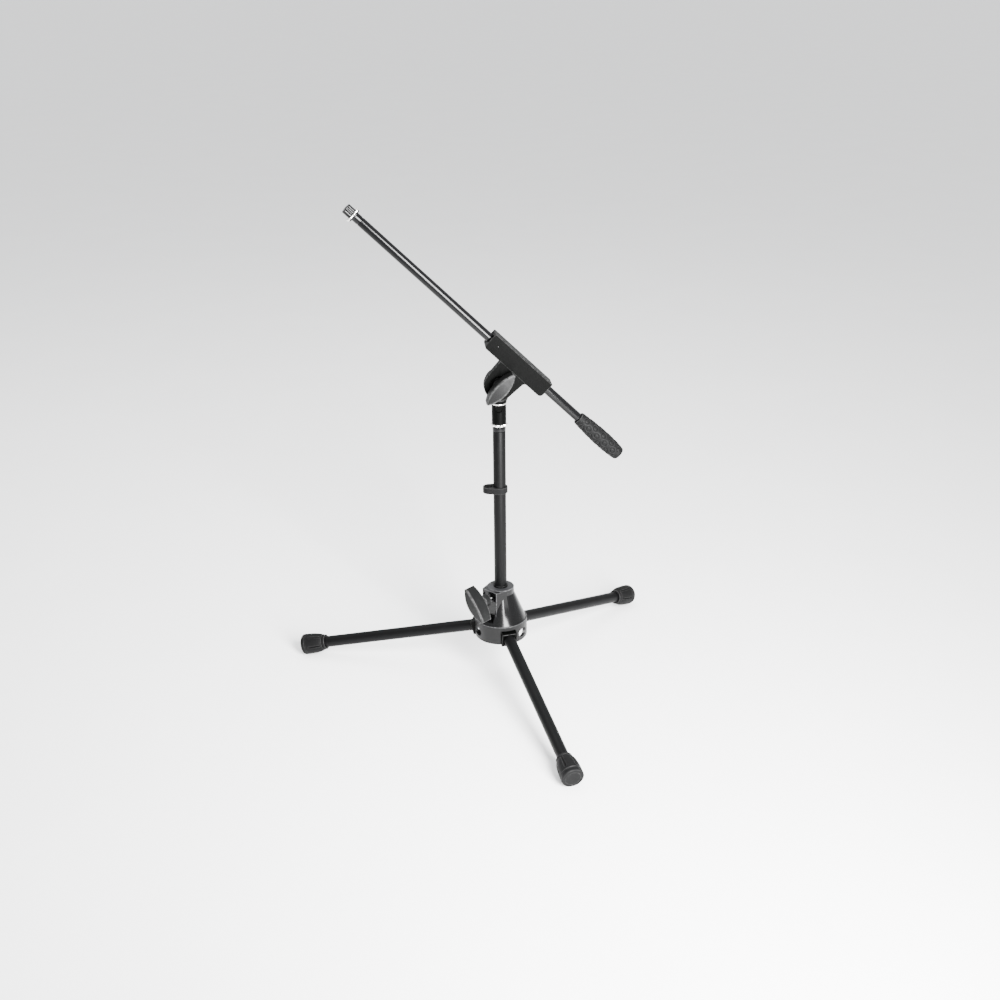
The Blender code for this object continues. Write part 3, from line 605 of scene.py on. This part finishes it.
def leg_slot_tools(azimuth):
    """The ribs beside a leg's slot, and the cutters for the slot, the pin and the access hole."""
    on_pin = Matrix.Translation((LEG_PIN_REACH * MM, 0, LEG_PIN_HEIGHT * MM))
    place = Matrix.Rotation(azimuth, 4, "Z") @ on_pin
    ribs = []
    for side in (-1, 1):
        near, far = sorted((side * (KNUCKLE_HALF + GAP), side * (KNUCKLE_HALF + RIB)))
        ribs.append(block("rib", (23, near, HUB_BOTTOM + 3), (36.8, far, HUB_SHOULDER - 3.5), 0.5))
        turned_about_pole(ribs[-1], azimuth)
    slot_half = KNUCKLE_HALF + 2 * GAP
    corners = [(-slot_half, 60), (slot_half, 60), (slot_half, 101, 1.5), (-slot_half, 101, 1.5)]
    outline = rounded(corners)
    slot = prism("slot", [(-y, z) for y, z in outline], 14, 60, axis="Y")
    slot.data.transform(Matrix.Rotation(azimuth - pi / 2, 4, "Z"))
    half = KNUCKLE_HALF + RIB
    bore = pin("bore", LEG_PIN_RADIUS + GAP, -half - 2, half + 0.7, 0, ABOUT_MINUS_Y)
    bore.data.transform(place)
    flare = [(0, half + 1.5), (7, half + 1.5), (7, 50), (0, 50)]
    hole = lathe("hole", flare, 48, turn=ABOUT_MINUS_Y)
    hole.data.transform(place @ Matrix.Rotation(pi, 4, "Z"))
    return ribs, [slot, bore, hole]


def hub():
    """The casting with its boss, ribs, leg slots and bores."""
    shell = hub_shell()
    outwards = joint_axis("clamp_screw_turn")
    boss, pocket = clamp_boss(atan2(outwards.y, outwards.x))
    ribs, cutters = [], []
    for place in LEGS.values():
        along = place.col[0]
        made = leg_slot_tools(atan2(along.y, along.x))
        ribs += made[0]
        cutters += made[1]
    join(shell, boss)
    cut(shell, pocket)
    join(shell, *ribs)
    cut(shell, *cutters)
    to_stand = STAND.inverted() @ CLAMP
    screw = pin("screw_bore", 5.4, 5, 19.7, 0, steps=48)
    pocket = pin("bush_pocket", 7.3, 19, 40, 0, steps=48)
    for tool in (screw, pocket):
        tool.data.transform(to_stand)
    mouth = pin("mouth", BUSH_RADIUS + GAP, HUB_TOP - 6, HUB_TOP + 5, 0, steps=96)
    cut(shell, screw, pocket, mouth)
    even_normals(shell, radians(30))
    dress(shell, "hub_body", STAND)


def base_trim():
    """The bush round the pole and the three leg pins."""
    low, high = local_box("pole_bush", STAND)
    bush = sleeve("pole_bush_shape", BUSH_RADIUS, POLE_RADIUS + GAP, low[2], high[2], 0.45)
    dress(bush, "pole_bush", STAND)
    for letter, place in LEGS.items():
        half = KNUCKLE_HALF + RIB
        rod = pin(f"leg_{letter}_pin_shape", LEG_PIN_RADIUS, -half, half, 0.5, ABOUT_MINUS_Y)
        dress(rod, f"leg_{letter}_pin", place)


def leg_knuckle(letter):
    """The block that turns on the leg's pin, with a tail below it and a socket for the tube."""
    outline = rounded([
        (-18, -6, 1), (-10, -6, 2), (-4.6, -12.5, 1.5), (14.5, -12.5, 1),
        (14.5, 11, 1), (-2, 11, 2), (-9, 2, 2), (-18, 2, 1.5),
    ])
    body = prism(f"leg_{letter}_knuckle_shape", outline, -KNUCKLE_HALF, KNUCKLE_HALF, "Y", edge=0.8)
    fit = LEG_TUBE_RADIUS + GAP
    mouth = [(0, -6), (fit, -6), (fit, 13.3), (fit + 1, 14.3), (fit + 1, 30), (0, 30)]
    socket = lathe("socket", mouth, 96, turn=ABOUT_X)
    bore = pin("bore", LEG_PIN_RADIUS + GAP, -20, 20, 0, ABOUT_MINUS_Y)
    cut(body, socket, bore)
    even_normals(body)
    return body


FOOT_RADIUS = 17.3
FOOT_INSET = 0.25
FLUTES = 6
FLUTE_DEPTH = 1.9
FLUTE_WIDTH = 0.075
LOWEST = 0.00001


def rubber_foot(letter, place):
    """A fluted, flared cap with a rim round its end disc, flat where it meets the floor."""
    low, high = local_box(f"leg_{letter}_foot", place)
    start, end = low[0], high[0] - FOOT_INSET
    bore = LEG_TUBE_RADIUS + GAP
    corners = [
        (bore, start, 0.4), (12.5, start, 0.9), (12.6, start + 3, 0.5), (11.4, start + 3.6, 0.4),
        (11.4, start + 4.4, 0.4), (13.3, start + 5, 0.8), (14.7, start + 8.5, 10),
        (15.7, start + 12.5, 20), (16.5, start + 17.5, 20), (17.1, start + 24, 20),
        (17.4, end - 8.8, 2), (16.2, end - 7.9, 0.5), (16.2, end - 7.3, 0.4),
        (FOOT_RADIUS, end - 6.4, 0.8), (FOOT_RADIUS, end, 3.4), (12.3, end, 0.6),
        (12.0, end - 0.5, 0.3), (11.7, end - 0.5, 0.3), (11.3, end, 0.6), (0, end),
        (0, end - 6.5), (bore, end - 6.5),
    ]
    profile = finer(rounded(corners, steps=4), 1.0)

    def fluted(angle, radius, height):
        along = smoothstep(height, start + 6.5, start + 9)
        along *= 1 - smoothstep(height, end - 15, end - 12)
        valley = exp(-(((angle * FLUTES / (2 * pi)) % 1 - 0.5) / FLUTE_WIDTH) ** 2)
        return radius - FLUTE_DEPTH * valley * along * smoothstep(radius, 10, 11.5)

    foot = lathe(f"leg_{letter}_foot_shape", profile, 144, closed=True, shape=fluted, turn=ABOUT_X)
    inverse = place.inverted()
    for vertex in foot.data.vertices:
        world = place @ vertex.co
        if world.z < LOWEST:
            vertex.co = inverse @ Vector((world.x, world.y, LOWEST))
    return foot


def finer(points, longest):
    """Splits the long steps of a closed outline, so that its sides can take a relief."""
    made = []
    for here, following in zip(points, points[1:] + points[:1]):
        along, across = following[0] - here[0], following[1] - here[1]
        pieces = max(1, int(sqrt(along**2 + across**2) / longest))
        for k in range(pieces):
            share = k / pieces
            made.append((here[0] + along * share, here[1] + across * share))
    return made


def legs():
    for letter, place in LEGS.items():
        low, high = local_box(f"leg_{letter}_tube", place)
        radii = LEG_TUBE_RADIUS, LEG_TUBE_BORE
        tube = sleeve(f"leg_{letter}_tube_shape", *radii, low[0], high[0], 0.4, ABOUT_X)
        bore = pin("bore", LEG_PIN_RADIUS + GAP, -20, 20, 0, ABOUT_MINUS_Y)
        cut(tube, bore)
        even_normals(tube)
        dress(tube, f"leg_{letter}_tube", place)
        dress(leg_knuckle(letter), f"leg_{letter}_knuckle", place)
        dress(rubber_foot(letter, place), f"leg_{letter}_foot", place)


# ---------------------------------------------------------------- wing handles
BOLT_RADIUS = 3.9
BOLT_THREAD = 1.25, 0.35
WING_HALF_LENGTH = 30.5


def wing_section(along):
    """One section across the blades: a rounded box that narrows towards the ends."""
    share = along / WING_HALF_LENGTH
    half_width = 1.8 + 8.6 * max(1 - share**2, 0) ** 0.85
    low, high = 12, 36.5 - 4.5 * share**2
    corner = min(half_width * 0.8, 3)
    ring = []
    for index, (side_y, side_z) in enumerate(((1, 1), (-1, 1), (-1, -1), (1, -1))):
        middle = (low + high) / 2 + side_z * ((high - low) / 2 - corner)
        centre = (side_y * (half_width - corner), middle)
        ring += arc(centre, corner, index * pi / 2, (index + 1) * pi / 2, 5)
    return [(along, y, z) for y, z in ring]


def wing(node, place, lean):
    """Two blades on a boss, in one moulded piece."""
    rings = [wing_section(WING_HALF_LENGTH * sin(pi / 2 * i / 16)) for i in range(-16, 17)]
    size = len(rings[0])
    vertices = [point for ring in rings for point in ring]
    faces = [tuple(range(size)), tuple(range(len(vertices) - size, len(vertices)))]
    for i in range(len(rings) - 1):
        for k in range(size):
            n = (k + 1) % size
            faces.append((i * size + k, i * size + n, (i + 1) * size + n, (i + 1) * size + k))
    blades = mesh_object(f"{node}_shape", vertices, faces)
    boss_profile = rounded([(0, 0), (10, 0, 1), (10, 11, 2), (7, 18, 2), (0, 18)], closed=False)
    join(blades, lathe("boss", boss_profile, 64))
    cut(blades, pin("bore", 6.3, -5, 14, 0), pin("deep_bore", 4.4, 10, 24, 0))
    melt(blades, 0.45, 5)
    seat = local_box(node, place)[0][2]
    turn = Matrix.Translation((0, 0, seat * MM)) @ Matrix.Rotation(lean, 4, "Z")
    blades.data.transform(turn)
    dress(blades, node, place)


def clamp_screw():
    """The screw in the hub: wing, threaded stud, bush and the shoe that grips the pole."""
    wing("clamp_wing", CLAMP, radians(38.6))
    low, high = local_box("clamp_stud", CLAMP)
    head = local_box("clamp_wing", CLAMP)[0][2] + GAP
    corners = [
        (0, low[2]), (BOLT_RADIUS, low[2], 0.8), (BOLT_RADIUS, head, 0.2), (6, head, 0.4),
        (6, high[2], 0.5), (0, high[2]),
    ]
    profile = rounded(corners, closed=False, steps=3)
    profile = threaded(profile, BOLT_RADIUS, low[2] + 1, head - 0.5, *BOLT_THREAD)
    dress(lathe("clamp_stud_shape", profile, 64), "clamp_stud", CLAMP)
    low, high = local_box("clamp_bush", CLAMP)
    bush = sleeve("clamp_bush_shape", 7, BOLT_RADIUS + GAP, low[2], high[2], 0.5)
    dress(bush, "clamp_bush", CLAMP)
    low, high = local_box("clamp_shoe", CLAMP)
    dress(pin("clamp_shoe_shape", 5, low[2], high[2], 0.5), "clamp_shoe", CLAMP)


def threaded(profile, radius, low, high, pitch, depth):
    """Replaces the plain stretch of a shaft's profile between two heights by V grooves."""
    before = [p for p in profile if p[1] <= low]
    after = [p for p in profile if p[1] >= high]
    count = int((high - low) / pitch)
    grooves = []
    for k in range(count):
        start = low + k * pitch
        grooves += [(radius, start), (radius - depth, start + pitch / 2)]
    return before + grooves + [(radius, low + count * pitch)] + after


# ---------------------------------------------------------------- pole
def pole():
    """The pole, with all that sits on it up to its lock nut."""
    low, high = local_box("pole_tube", STAND)
    dress(sleeve("pole_tube_shape", POLE_RADIUS, 8.5, low[2], high[2], 0.5), "pole_tube", STAND)
    low, high = local_box("spreader_disc", STAND)
    disc_top = low[2] + 4
    corners = [
        (3.3, low[2], 0.3), (16.5, low[2], 1.2), (16.5, disc_top, 0.6), (8.2, disc_top, 0.2),
        (8.2, high[2], 0.5), (3.3, high[2], 0.2),
    ]
    disc = lathe("spreader_disc_shape", rounded(corners), closed=True)
    dress(disc, "spreader_disc", STAND)
    low, high = local_box("spreader_screw", STAND)
    corners = [
        (0, low[2]), (5.6, low[2], 1.6), (5.6, low[2] + 3.1, 0.2), (3, low[2] + 3.1),
        (3, high[2], 0.5), (0, high[2]),
    ]
    screw = lathe("spreader_screw_shape", rounded(corners, closed=False), 64)
    recess = prism("recess", arc((0, 0), 2.4, 0, 5 * pi / 3, 5), low[2] - 2, low[2] + 1.8)
    cut(screw, recess)
    even_normals(screw)
    dress(screw, "spreader_screw", STAND)
    top_plug()
    nut("pole_lock_nut", STAND)
    cable_clip()


def top_plug():
    """The collar and threaded end on top of the pole."""
    low, high = local_box("pole_top_plug", STAND)
    pole_top = local_box("pole_tube", STAND)[1][2] + GAP
    nut_low = local_box("pole_lock_nut", STAND)[0][2] - GAP
    corners = [
        (0, low[2]), (8.2, low[2], 0.8), (8.2, pole_top, 0.2), (10.3, pole_top, 0.9),
        (10.3, nut_low, 0.7), (SCREW_RADIUS, nut_low, 0.2), (SCREW_RADIUS, high[2], 0.8),
        (0, high[2]),
    ]
    profile = rounded(corners, closed=False, steps=4)
    profile = threaded(profile, SCREW_RADIUS, nut_low + 0.5, high[2] - 1, *SCREW_THREAD)
    plug = lathe("pole_top_plug_shape", profile)
    dress(plug, "pole_top_plug", STAND)


NUT_LOBES = 10
NUT_WAVE = 1.0


def nut(node, place):
    """A thin nut with a wavy edge, its faces dressed to a rounded rim."""
    low, high = local_box(node, place)
    radius = max(high[0], high[1])
    thickness = high[2] - low[2]
    count = NUT_LOBES * 16

    def outline(inset):
        points = []
        for k in range(count):
            angle = 2 * pi * k / count
            reach = radius - inset - NUT_WAVE + NUT_WAVE * cos(NUT_LOBES * angle)
            points.append((reach * cos(angle), reach * sin(angle)))
        return points

    rim = [(0.55, 0), (0.15, 0.12), (0, 0.4)]
    levels = rim + [(inset, thickness - height) for inset, height in reversed(rim)]
    vertices, faces = [], []
    for inset, height in levels:
        vertices += [(x, y, low[2] + height) for x, y in outline(inset)]
    bore_low, bore_high = len(vertices), len(vertices) + count
    for height in (0, thickness):
        for k in range(count):
            angle = 2 * pi * k / count
            x, y = SCREW_BORE * cos(angle), SCREW_BORE * sin(angle)
            vertices.append((x, y, low[2] + height))
    starts = [i * count for i in range(len(levels))] + [bore_high, bore_low]
    for first, second in zip(starts, starts[1:] + starts[:1]):
        for k in range(count):
            n = (k + 1) % count
            faces.append((first + k, first + n, second + n, second + k))
    dress(mesh_object(f"{node}_shape", vertices, faces), node, place)


def cable_clip():
    """A slice of a sleeve with an open loop for a cord on one side."""
    low, high = local_box("cable_clip", STAND)
    sleeve_radius, loop_radius, loop_centre = 12.6, 10.5, -16
    lean = atan2(sleeve_radius - loop_radius, -loop_centre)
    outline = arc((0, 0), sleeve_radius, -pi / 2 - lean, pi / 2 + lean, 40)
    outline += arc((loop_centre, 0), loop_radius, pi / 2 + lean, 3 * pi / 2 - lean, 32)
    clip = prism("cable_clip_shape", outline, low[2], high[2], edge=0.7)
    bore = pin("pole_bore", POLE_RADIUS + GAP, low[2] - 4, high[2] + 4, 0, steps=96)
    round_end = arc((loop_centre, 0), 8.1, radians(240), radians(120), 20)
    loop = rounded([(-11.4, -3.6, 0.8), *round_end, (-11.4, 3.6, 0.8)])
    gap = prism("cable_bore", loop, low[2] - 4, high[2] + 4)
    cut(clip, bore, gap)
    even_normals(clip)
    dress(clip, "cable_clip", STAND)


# ---------------------------------------------------------------- swivel joint
LUG_RADIUS, LUG_SHOULDER = 23.8, 25.6
LUG_FRONT, LUG_BACK = -13.4, -1.1
SEAT_DEPTH = 8.4
BLOCK_HEIGHT, BLOCK_HALF_WIDTH = 27.6, 14
BOOM_OFFSET = 42.4


def swivel_base():
    """The threaded socket on the pole, and the cheek of the tilt joint above it."""
    low, high = local_box("swivel_base", STAND)
    top = local_box("swivel_ring", STAND)[0][2] - GAP
    corners = [
        (SCREW_BORE, low[2], 0.4), (11.3, low[2], 0.8), (11.3, top, 0.5), (9.4, top, 0.2),
        (9.4, top + 2.6, 0.2), (11.9, top + 2.6, 0.5), (12.5, top + 8.8, 2), (0, top + 8.8),
        (0, top - 8), (SCREW_BORE, top - 8, 0.5),
    ]
    base = lathe("swivel_base_shape", rounded(corners), closed=True)
    bolt_height = joint_point("boom_tilt").z / MM
    neck = top + 3 - bolt_height
    outline = [(12.4, neck), (17.6, neck + 13)]
    outline += arc((0, 0), LUG_RADIUS - 2.8, -pi / 6, pi + pi / 6, 64)
    outline += [(-17.6, neck + 13), (-12.4, neck)]
    cheek = prism("cheek", outline, -LUG_BACK, -LUG_FRONT, "Y", edge=1.2)
    bore = pin("bore", BOLT_RADIUS + GAP, -30, 30, 0, ABOUT_MINUS_Y)
    to_stand = STAND.inverted() @ SWIVEL
    for tool in (cheek, bore):
        tool.data.transform(to_stand)
    hollow = [(0, 9.6), (5.2, 9.6), (5.9, 11.0), (6.4, 14), (0, 14)]
    dimple = lathe("dimple", hollow, 64, turn=ABOUT_MINUS_Y)
    dimple.data.transform(Matrix.Translation((0, 0, (top - 5.6) * MM)))
    join(base, cheek)
    cut(base, bore, dimple)
    even_normals(base)
    dress(base, "swivel_base", STAND)
    low, high = local_box("swivel_ring", STAND)
    dress(sleeve("swivel_ring_shape", 11.6, 9.7, low[2], high[2], 0.4), "swivel_ring", STAND)


def hexagon(radius, corner):
    return rounded([(radius * cos(pi / 3 * i), radius * sin(pi / 3 * i), corner) for i in range(6)])


def tilt_bolt():
    """A hexagon bolt with a domed head and a thread at its far end."""
    bolt = prism("tilt_bolt_shape", hexagon(6.5, 0.5), 13.7, 18.7, "Y")
    dome = lathe("dome", [(0, 0), (6.7, 0), (6.7, 3.9), (5.6, 5), (0, 5)], 64)
    dome.data.transform(Matrix.Translation((0, 13.7 * MM, 0)) @ Matrix.Rotation(-pi / 2, 4, "X"))
    combine(bolt, [dome], "INTERSECT")
    shank = [(0, -23.5), (BOLT_RADIUS, -23.5), (BOLT_RADIUS, 14), (0, 14)]
    shank = threaded(shank, BOLT_RADIUS, -23, -14.5, *BOLT_THREAD)
    join(bolt, lathe("shank", shank, 64, turn=Matrix.Rotation(-pi / 2, 4, "X")))
    even_normals(bolt)
    dress(bolt, "tilt_bolt", SWIVEL)


def tilt_handle():
    """The friction disc between the cheeks, and the wing with its brass nut."""
    fit = BOLT_RADIUS + GAP
    disc = sleeve("tilt_friction_disc_shape", 20.5, fit, -0.8, 0.8, 0.2, ABOUT_MINUS_Y)
    dress(disc, "tilt_friction_disc", SWIVEL)
    wing("tilt_wing", HANDLE, radians(47))
    low, high = local_box("tilt_wing_nut", HANDLE)
    brass = sleeve("tilt_wing_nut_shape", 6, fit, low[2], high[2])
    dress(brass, "tilt_wing_nut", HANDLE)


def boom_block():
    """The T-shaped clamp: the long block that carries the boom, and the lug of the tilt joint."""
    end, _, top = local_box("boom_block", TILT)[1]
    bottom = top - BLOCK_HEIGHT
    outline = rounded([
        (-end, bottom, 6), (end, bottom, 6), (end, top, 1.8), (-end, top, 1.8),
    ], steps=8)
    sides = -BLOCK_HALF_WIDTH, BLOCK_HALF_WIDTH
    body = prism("boom_block_shape", outline, *sides, "Y", edge=1.6)
    lean = atan2(LUG_SHOULDER - LUG_RADIUS, bottom)
    fillet = 5
    lug_outline = [(-LUG_SHOULDER, bottom + 8), (-LUG_SHOULDER, bottom)]
    lug_outline += arc((0, 0), LUG_RADIUS, pi - lean, 2 * pi + lean, 72)
    lug_outline += arc((LUG_SHOULDER + fillet, bottom - fillet), fillet, pi, pi / 2, 8)
    lug_outline += [(LUG_SHOULDER + fillet, bottom + 8)]
    lug = prism("lug", lug_outline, LUG_FRONT, LUG_BACK, "Y", edge=1.0)
    join(body, lug)
    seat_floor = -LUG_FRONT - SEAT_DEPTH
    corners = [
        (0, seat_floor), (14.5, seat_floor, 1.2), (14.5, -LUG_FRONT - 1, 0.4),
        (15.6, -LUG_FRONT + 0.1), (15.6, 30), (0, 30),
    ]
    seat = lathe("seat", rounded(corners, closed=False), 96, turn=ABOUT_MINUS_Y)
    bolt_bore = pin("bolt_bore", BOLT_RADIUS + GAP, -30, 30, 0, ABOUT_MINUS_Y)
    bore_profile = [
        (0, -end - 5), (10.6, -end - 5), (10.6, -end + 0.2), (9.6, -end + 1.2),
        (9.6, end - 1.2), (10.6, end - 0.2), (10.6, end + 5), (0, end + 5),
    ]
    boom_place = Matrix.Translation((0, 0, BOOM_OFFSET * MM))
    bore = lathe("boom_bore", bore_profile, 96, turn=boom_place @ ABOUT_X)
    pin_place = Matrix.Translation(((-end + 16) * MM, 0, BOOM_OFFSET * MM)) @ ABOUT_MINUS_Y
    pin_hole = pin("pin_hole", 1.6, 11, 20, 0, pin_place)
    cut(body, seat, bolt_bore, bore, pin_hole)
    even_normals(body)
    dress(body, "boom_block", TILT)
    dress(pin("block_pin_shape", 1.3, 11.3, 14.2, 0.4, pin_place), "block_pin", TILT)


# ---------------------------------------------------------------- boom
RING_RADIUS, RING_WIDTH, RING_DEPTH = 3.7, 1.2, 0.8
RING_ROWS = 10
RING_PITCH = 17.7
FIRST_RING = 20.5
FIRST_ROW = radians(-92)


def boom_grip():
    """A swelling rubber sleeve, with rings pressed into it in staggered rows."""
    low, high = local_box("boom_grip", BOOM)
    start, tip = high[2], low[2]
    bore = BOOM_TUBE_RADIUS + GAP
    corners = [
        (bore, start, 0.4), (9.8, start, 1.0), (10.6, start - 4, 6), (11.4, start - 12, 20),
        (12.4, start - 25, 30), (13.2, start - 42, 40), (13.3, start - 60, 40),
        (12.7, start - 73, 30), (11.4, start - 84, 10), (10.3, tip, 3.6),
        (0, tip), (0, tip + 8.5), (bore, tip + 8.5),
    ]
    profile = finer(rounded(corners, steps=6), 0.55)

    def pressed(angle, radius, height):
        if radius < 9:
            return radius
        depth = 0
        row = (angle - FIRST_ROW) / (2 * pi) * RING_ROWS
        for near in (floor(row), floor(row) + 1):
            across = (row - near) * 2 * pi / RING_ROWS * radius
            shift = (near % 2) * RING_PITCH / 2
            along = (start - height - FIRST_RING - shift) % RING_PITCH
            along = min(along, RING_PITCH - along)
            reach = sqrt(across**2 + along**2)
            depth = max(depth, exp(-(((reach - RING_RADIUS) / RING_WIDTH) ** 2)))
        edges = smoothstep(start - height, 4, 8) * smoothstep(height - tip, 5, 9)
        return radius - RING_DEPTH * depth * edges

    grip = lathe("boom_grip_shape", profile, 180, closed=True, shape=pressed)
    dress(grip, "boom_grip", BOOM)


SLOTS = 12
SLOT_DEPTH = 0.7
SLOT_WIDTH = 0.14


def boom_tip():
    """The ferrule, the slotted adapter and its lock nut."""
    low, high = local_box("boom_ferrule", BOOM)
    boom_end = local_box("boom_tube", BOOM)[1][2]
    flange = high[2] - 2.1
    groove = boom_end + GAP
    outer, fit = BOOM_TUBE_RADIUS, BOOM_TUBE_BORE - GAP
    corners = [
        (4.9, low[2], 0.3), (fit, low[2], 0.3), (fit, groove), (6.55, groove),
        (6.55, groove + 1.4, 0.2), (outer, groove + 1.8, 0.3), (outer, flange, 1.2),
        (10.4, flange, 0.6), (10.4, high[2], 0.5), (4.9, high[2], 0.3),
    ]
    dress(lathe("boom_ferrule_shape", rounded(corners), closed=True), "boom_ferrule", BOOM)
    low, high = local_box("boom_adapter", BOOM)
    shoulder, tip = local_box("boom_lock_nut", BOOM)[0][2], high[2] - 0.2

    def slotted(angle, radius, height):
        inside = smoothstep(height, shoulder + 1.5, shoulder + 2.5)
        inside *= 1 - smoothstep(height, tip - 1.6, tip - 0.8)
        valley = exp(-(((angle * SLOTS / (2 * pi)) % 1 - 0.5) / SLOT_WIDTH) ** 2)
        return radius - SLOT_DEPTH * valley * inside if radius > 6 else radius

    corners = [
        (0, low[2]), (4.6, low[2], 0.5), (4.6, shoulder), (SCREW_RADIUS, shoulder),
        (SCREW_RADIUS, tip, 1.0), (4.2, tip, 0.5), (3.4, tip - 1.4, 0.3), (0, tip - 1.4),
    ]
    profile = finer(rounded(corners, closed=False), 0.8)[:-1] + [(0, tip - 1.4)]
    dress(lathe("boom_adapter_shape", profile, 144, shape=slotted), "boom_adapter", BOOM)
    nut("boom_lock_nut", BOOM)


def boom():
    """The tube with the bushes it slides in, its tip and its grip."""
    low, high = local_box("boom_tube", BOOM)
    radii = BOOM_TUBE_RADIUS, BOOM_TUBE_BORE
    dress(sleeve("boom_tube_shape", *radii, low[2], high[2], 0.35), "boom_tube", BOOM)
    for node in ("boom_bush_tip", "boom_bush_grip"):
        low, high = local_box(node, BOOM)
        bush = sleeve(f"{node}_shape", 9.3, BOOM_TUBE_RADIUS + GAP, low[2], high[2], 0.5)
        dress(bush, node, BOOM)
    boom_tip()
    boom_grip()


# ---------------------------------------------------------------- stage
def area_light(name, place, target, width, height, power, spread=180):
    light = bpy.data.lights.new(name, "AREA")
    light.shape = "RECTANGLE"
    light.size = width
    light.size_y = height
    light.energy = power
    light.spread = radians(spread)
    lamp = bpy.data.objects.new(name, light)
    bpy.context.scene.collection.objects.link(lamp)
    lamp.location = place
    lamp.rotation_euler = (Vector(target) - Vector(place)).to_track_quat("-Z", "Y").to_euler()


def stage():
    """A pale floor under a white sky, with a softbox at the right and one overhead."""
    world = bpy.data.worlds.new("studio")
    bpy.context.scene.world = world
    world.use_nodes = True
    sky = world.node_tree.nodes["Background"]
    sky.inputs["Color"].default_value = (0.95, 0.96, 0.97, 1)
    sky.inputs["Strength"].default_value = 1.5
    half, drop = 40000, 0.05
    corners = [(-half, -half), (half, -half), (half, half), (-half, half)]
    ground = mesh_object("floor", [(x, y, -drop) for x, y in corners], [(0, 1, 2, 3)])
    paper = Surface("pale_floor", 0.8, specular=0.2)
    paper.colour((0.94, 0.94, 0.94), 0.01, 200)
    paper.rough(0.7, 0.85, 60)
    ground.data.materials.append(paper.material)
    centre = Vector((*STAND.translation.xy, 0.4))
    strip = centre + Vector((0.61, -1.37, 0.5))
    area_light("strip_right", strip, centre + Vector((0, 0, 0.1)), 0.55, 1.3, 160, 130)
    area_light("overhead", centre + Vector((-0.3, 0.4, 2.0)), centre, 2.4, 2.4, 60)


def camera():
    """The camera that the stand is seen from: 23 degrees above it, straight along +Y."""
    elevation, distance, roll = radians(22.774), 2.15136, radians(-0.561)
    target = STAND.translation + Vector((0.000268, 0, 0.31318))
    back = Vector((0, -cos(elevation), sin(elevation)))
    right = Vector((1, 0, 0))
    above = back.cross(right)
    lens = bpy.data.cameras.new("camera")
    lens.lens = 49.04
    lens.sensor_width = 36
    lens.clip_end = 50
    view = bpy.data.objects.new("camera", lens)
    bpy.context.scene.collection.objects.link(view)
    view.matrix_world = axes(
        target + back * distance,
        right * cos(roll) + above * sin(roll),
        above * cos(roll) - right * sin(roll),
        back,
    )
    bpy.context.scene.camera = view


def main():
    camera()
    stage()
    hub()
    base_trim()
    legs()
    clamp_screw()
    pole()
    swivel_base()
    tilt_bolt()
    tilt_handle()
    boom_block()
    boom()


main()
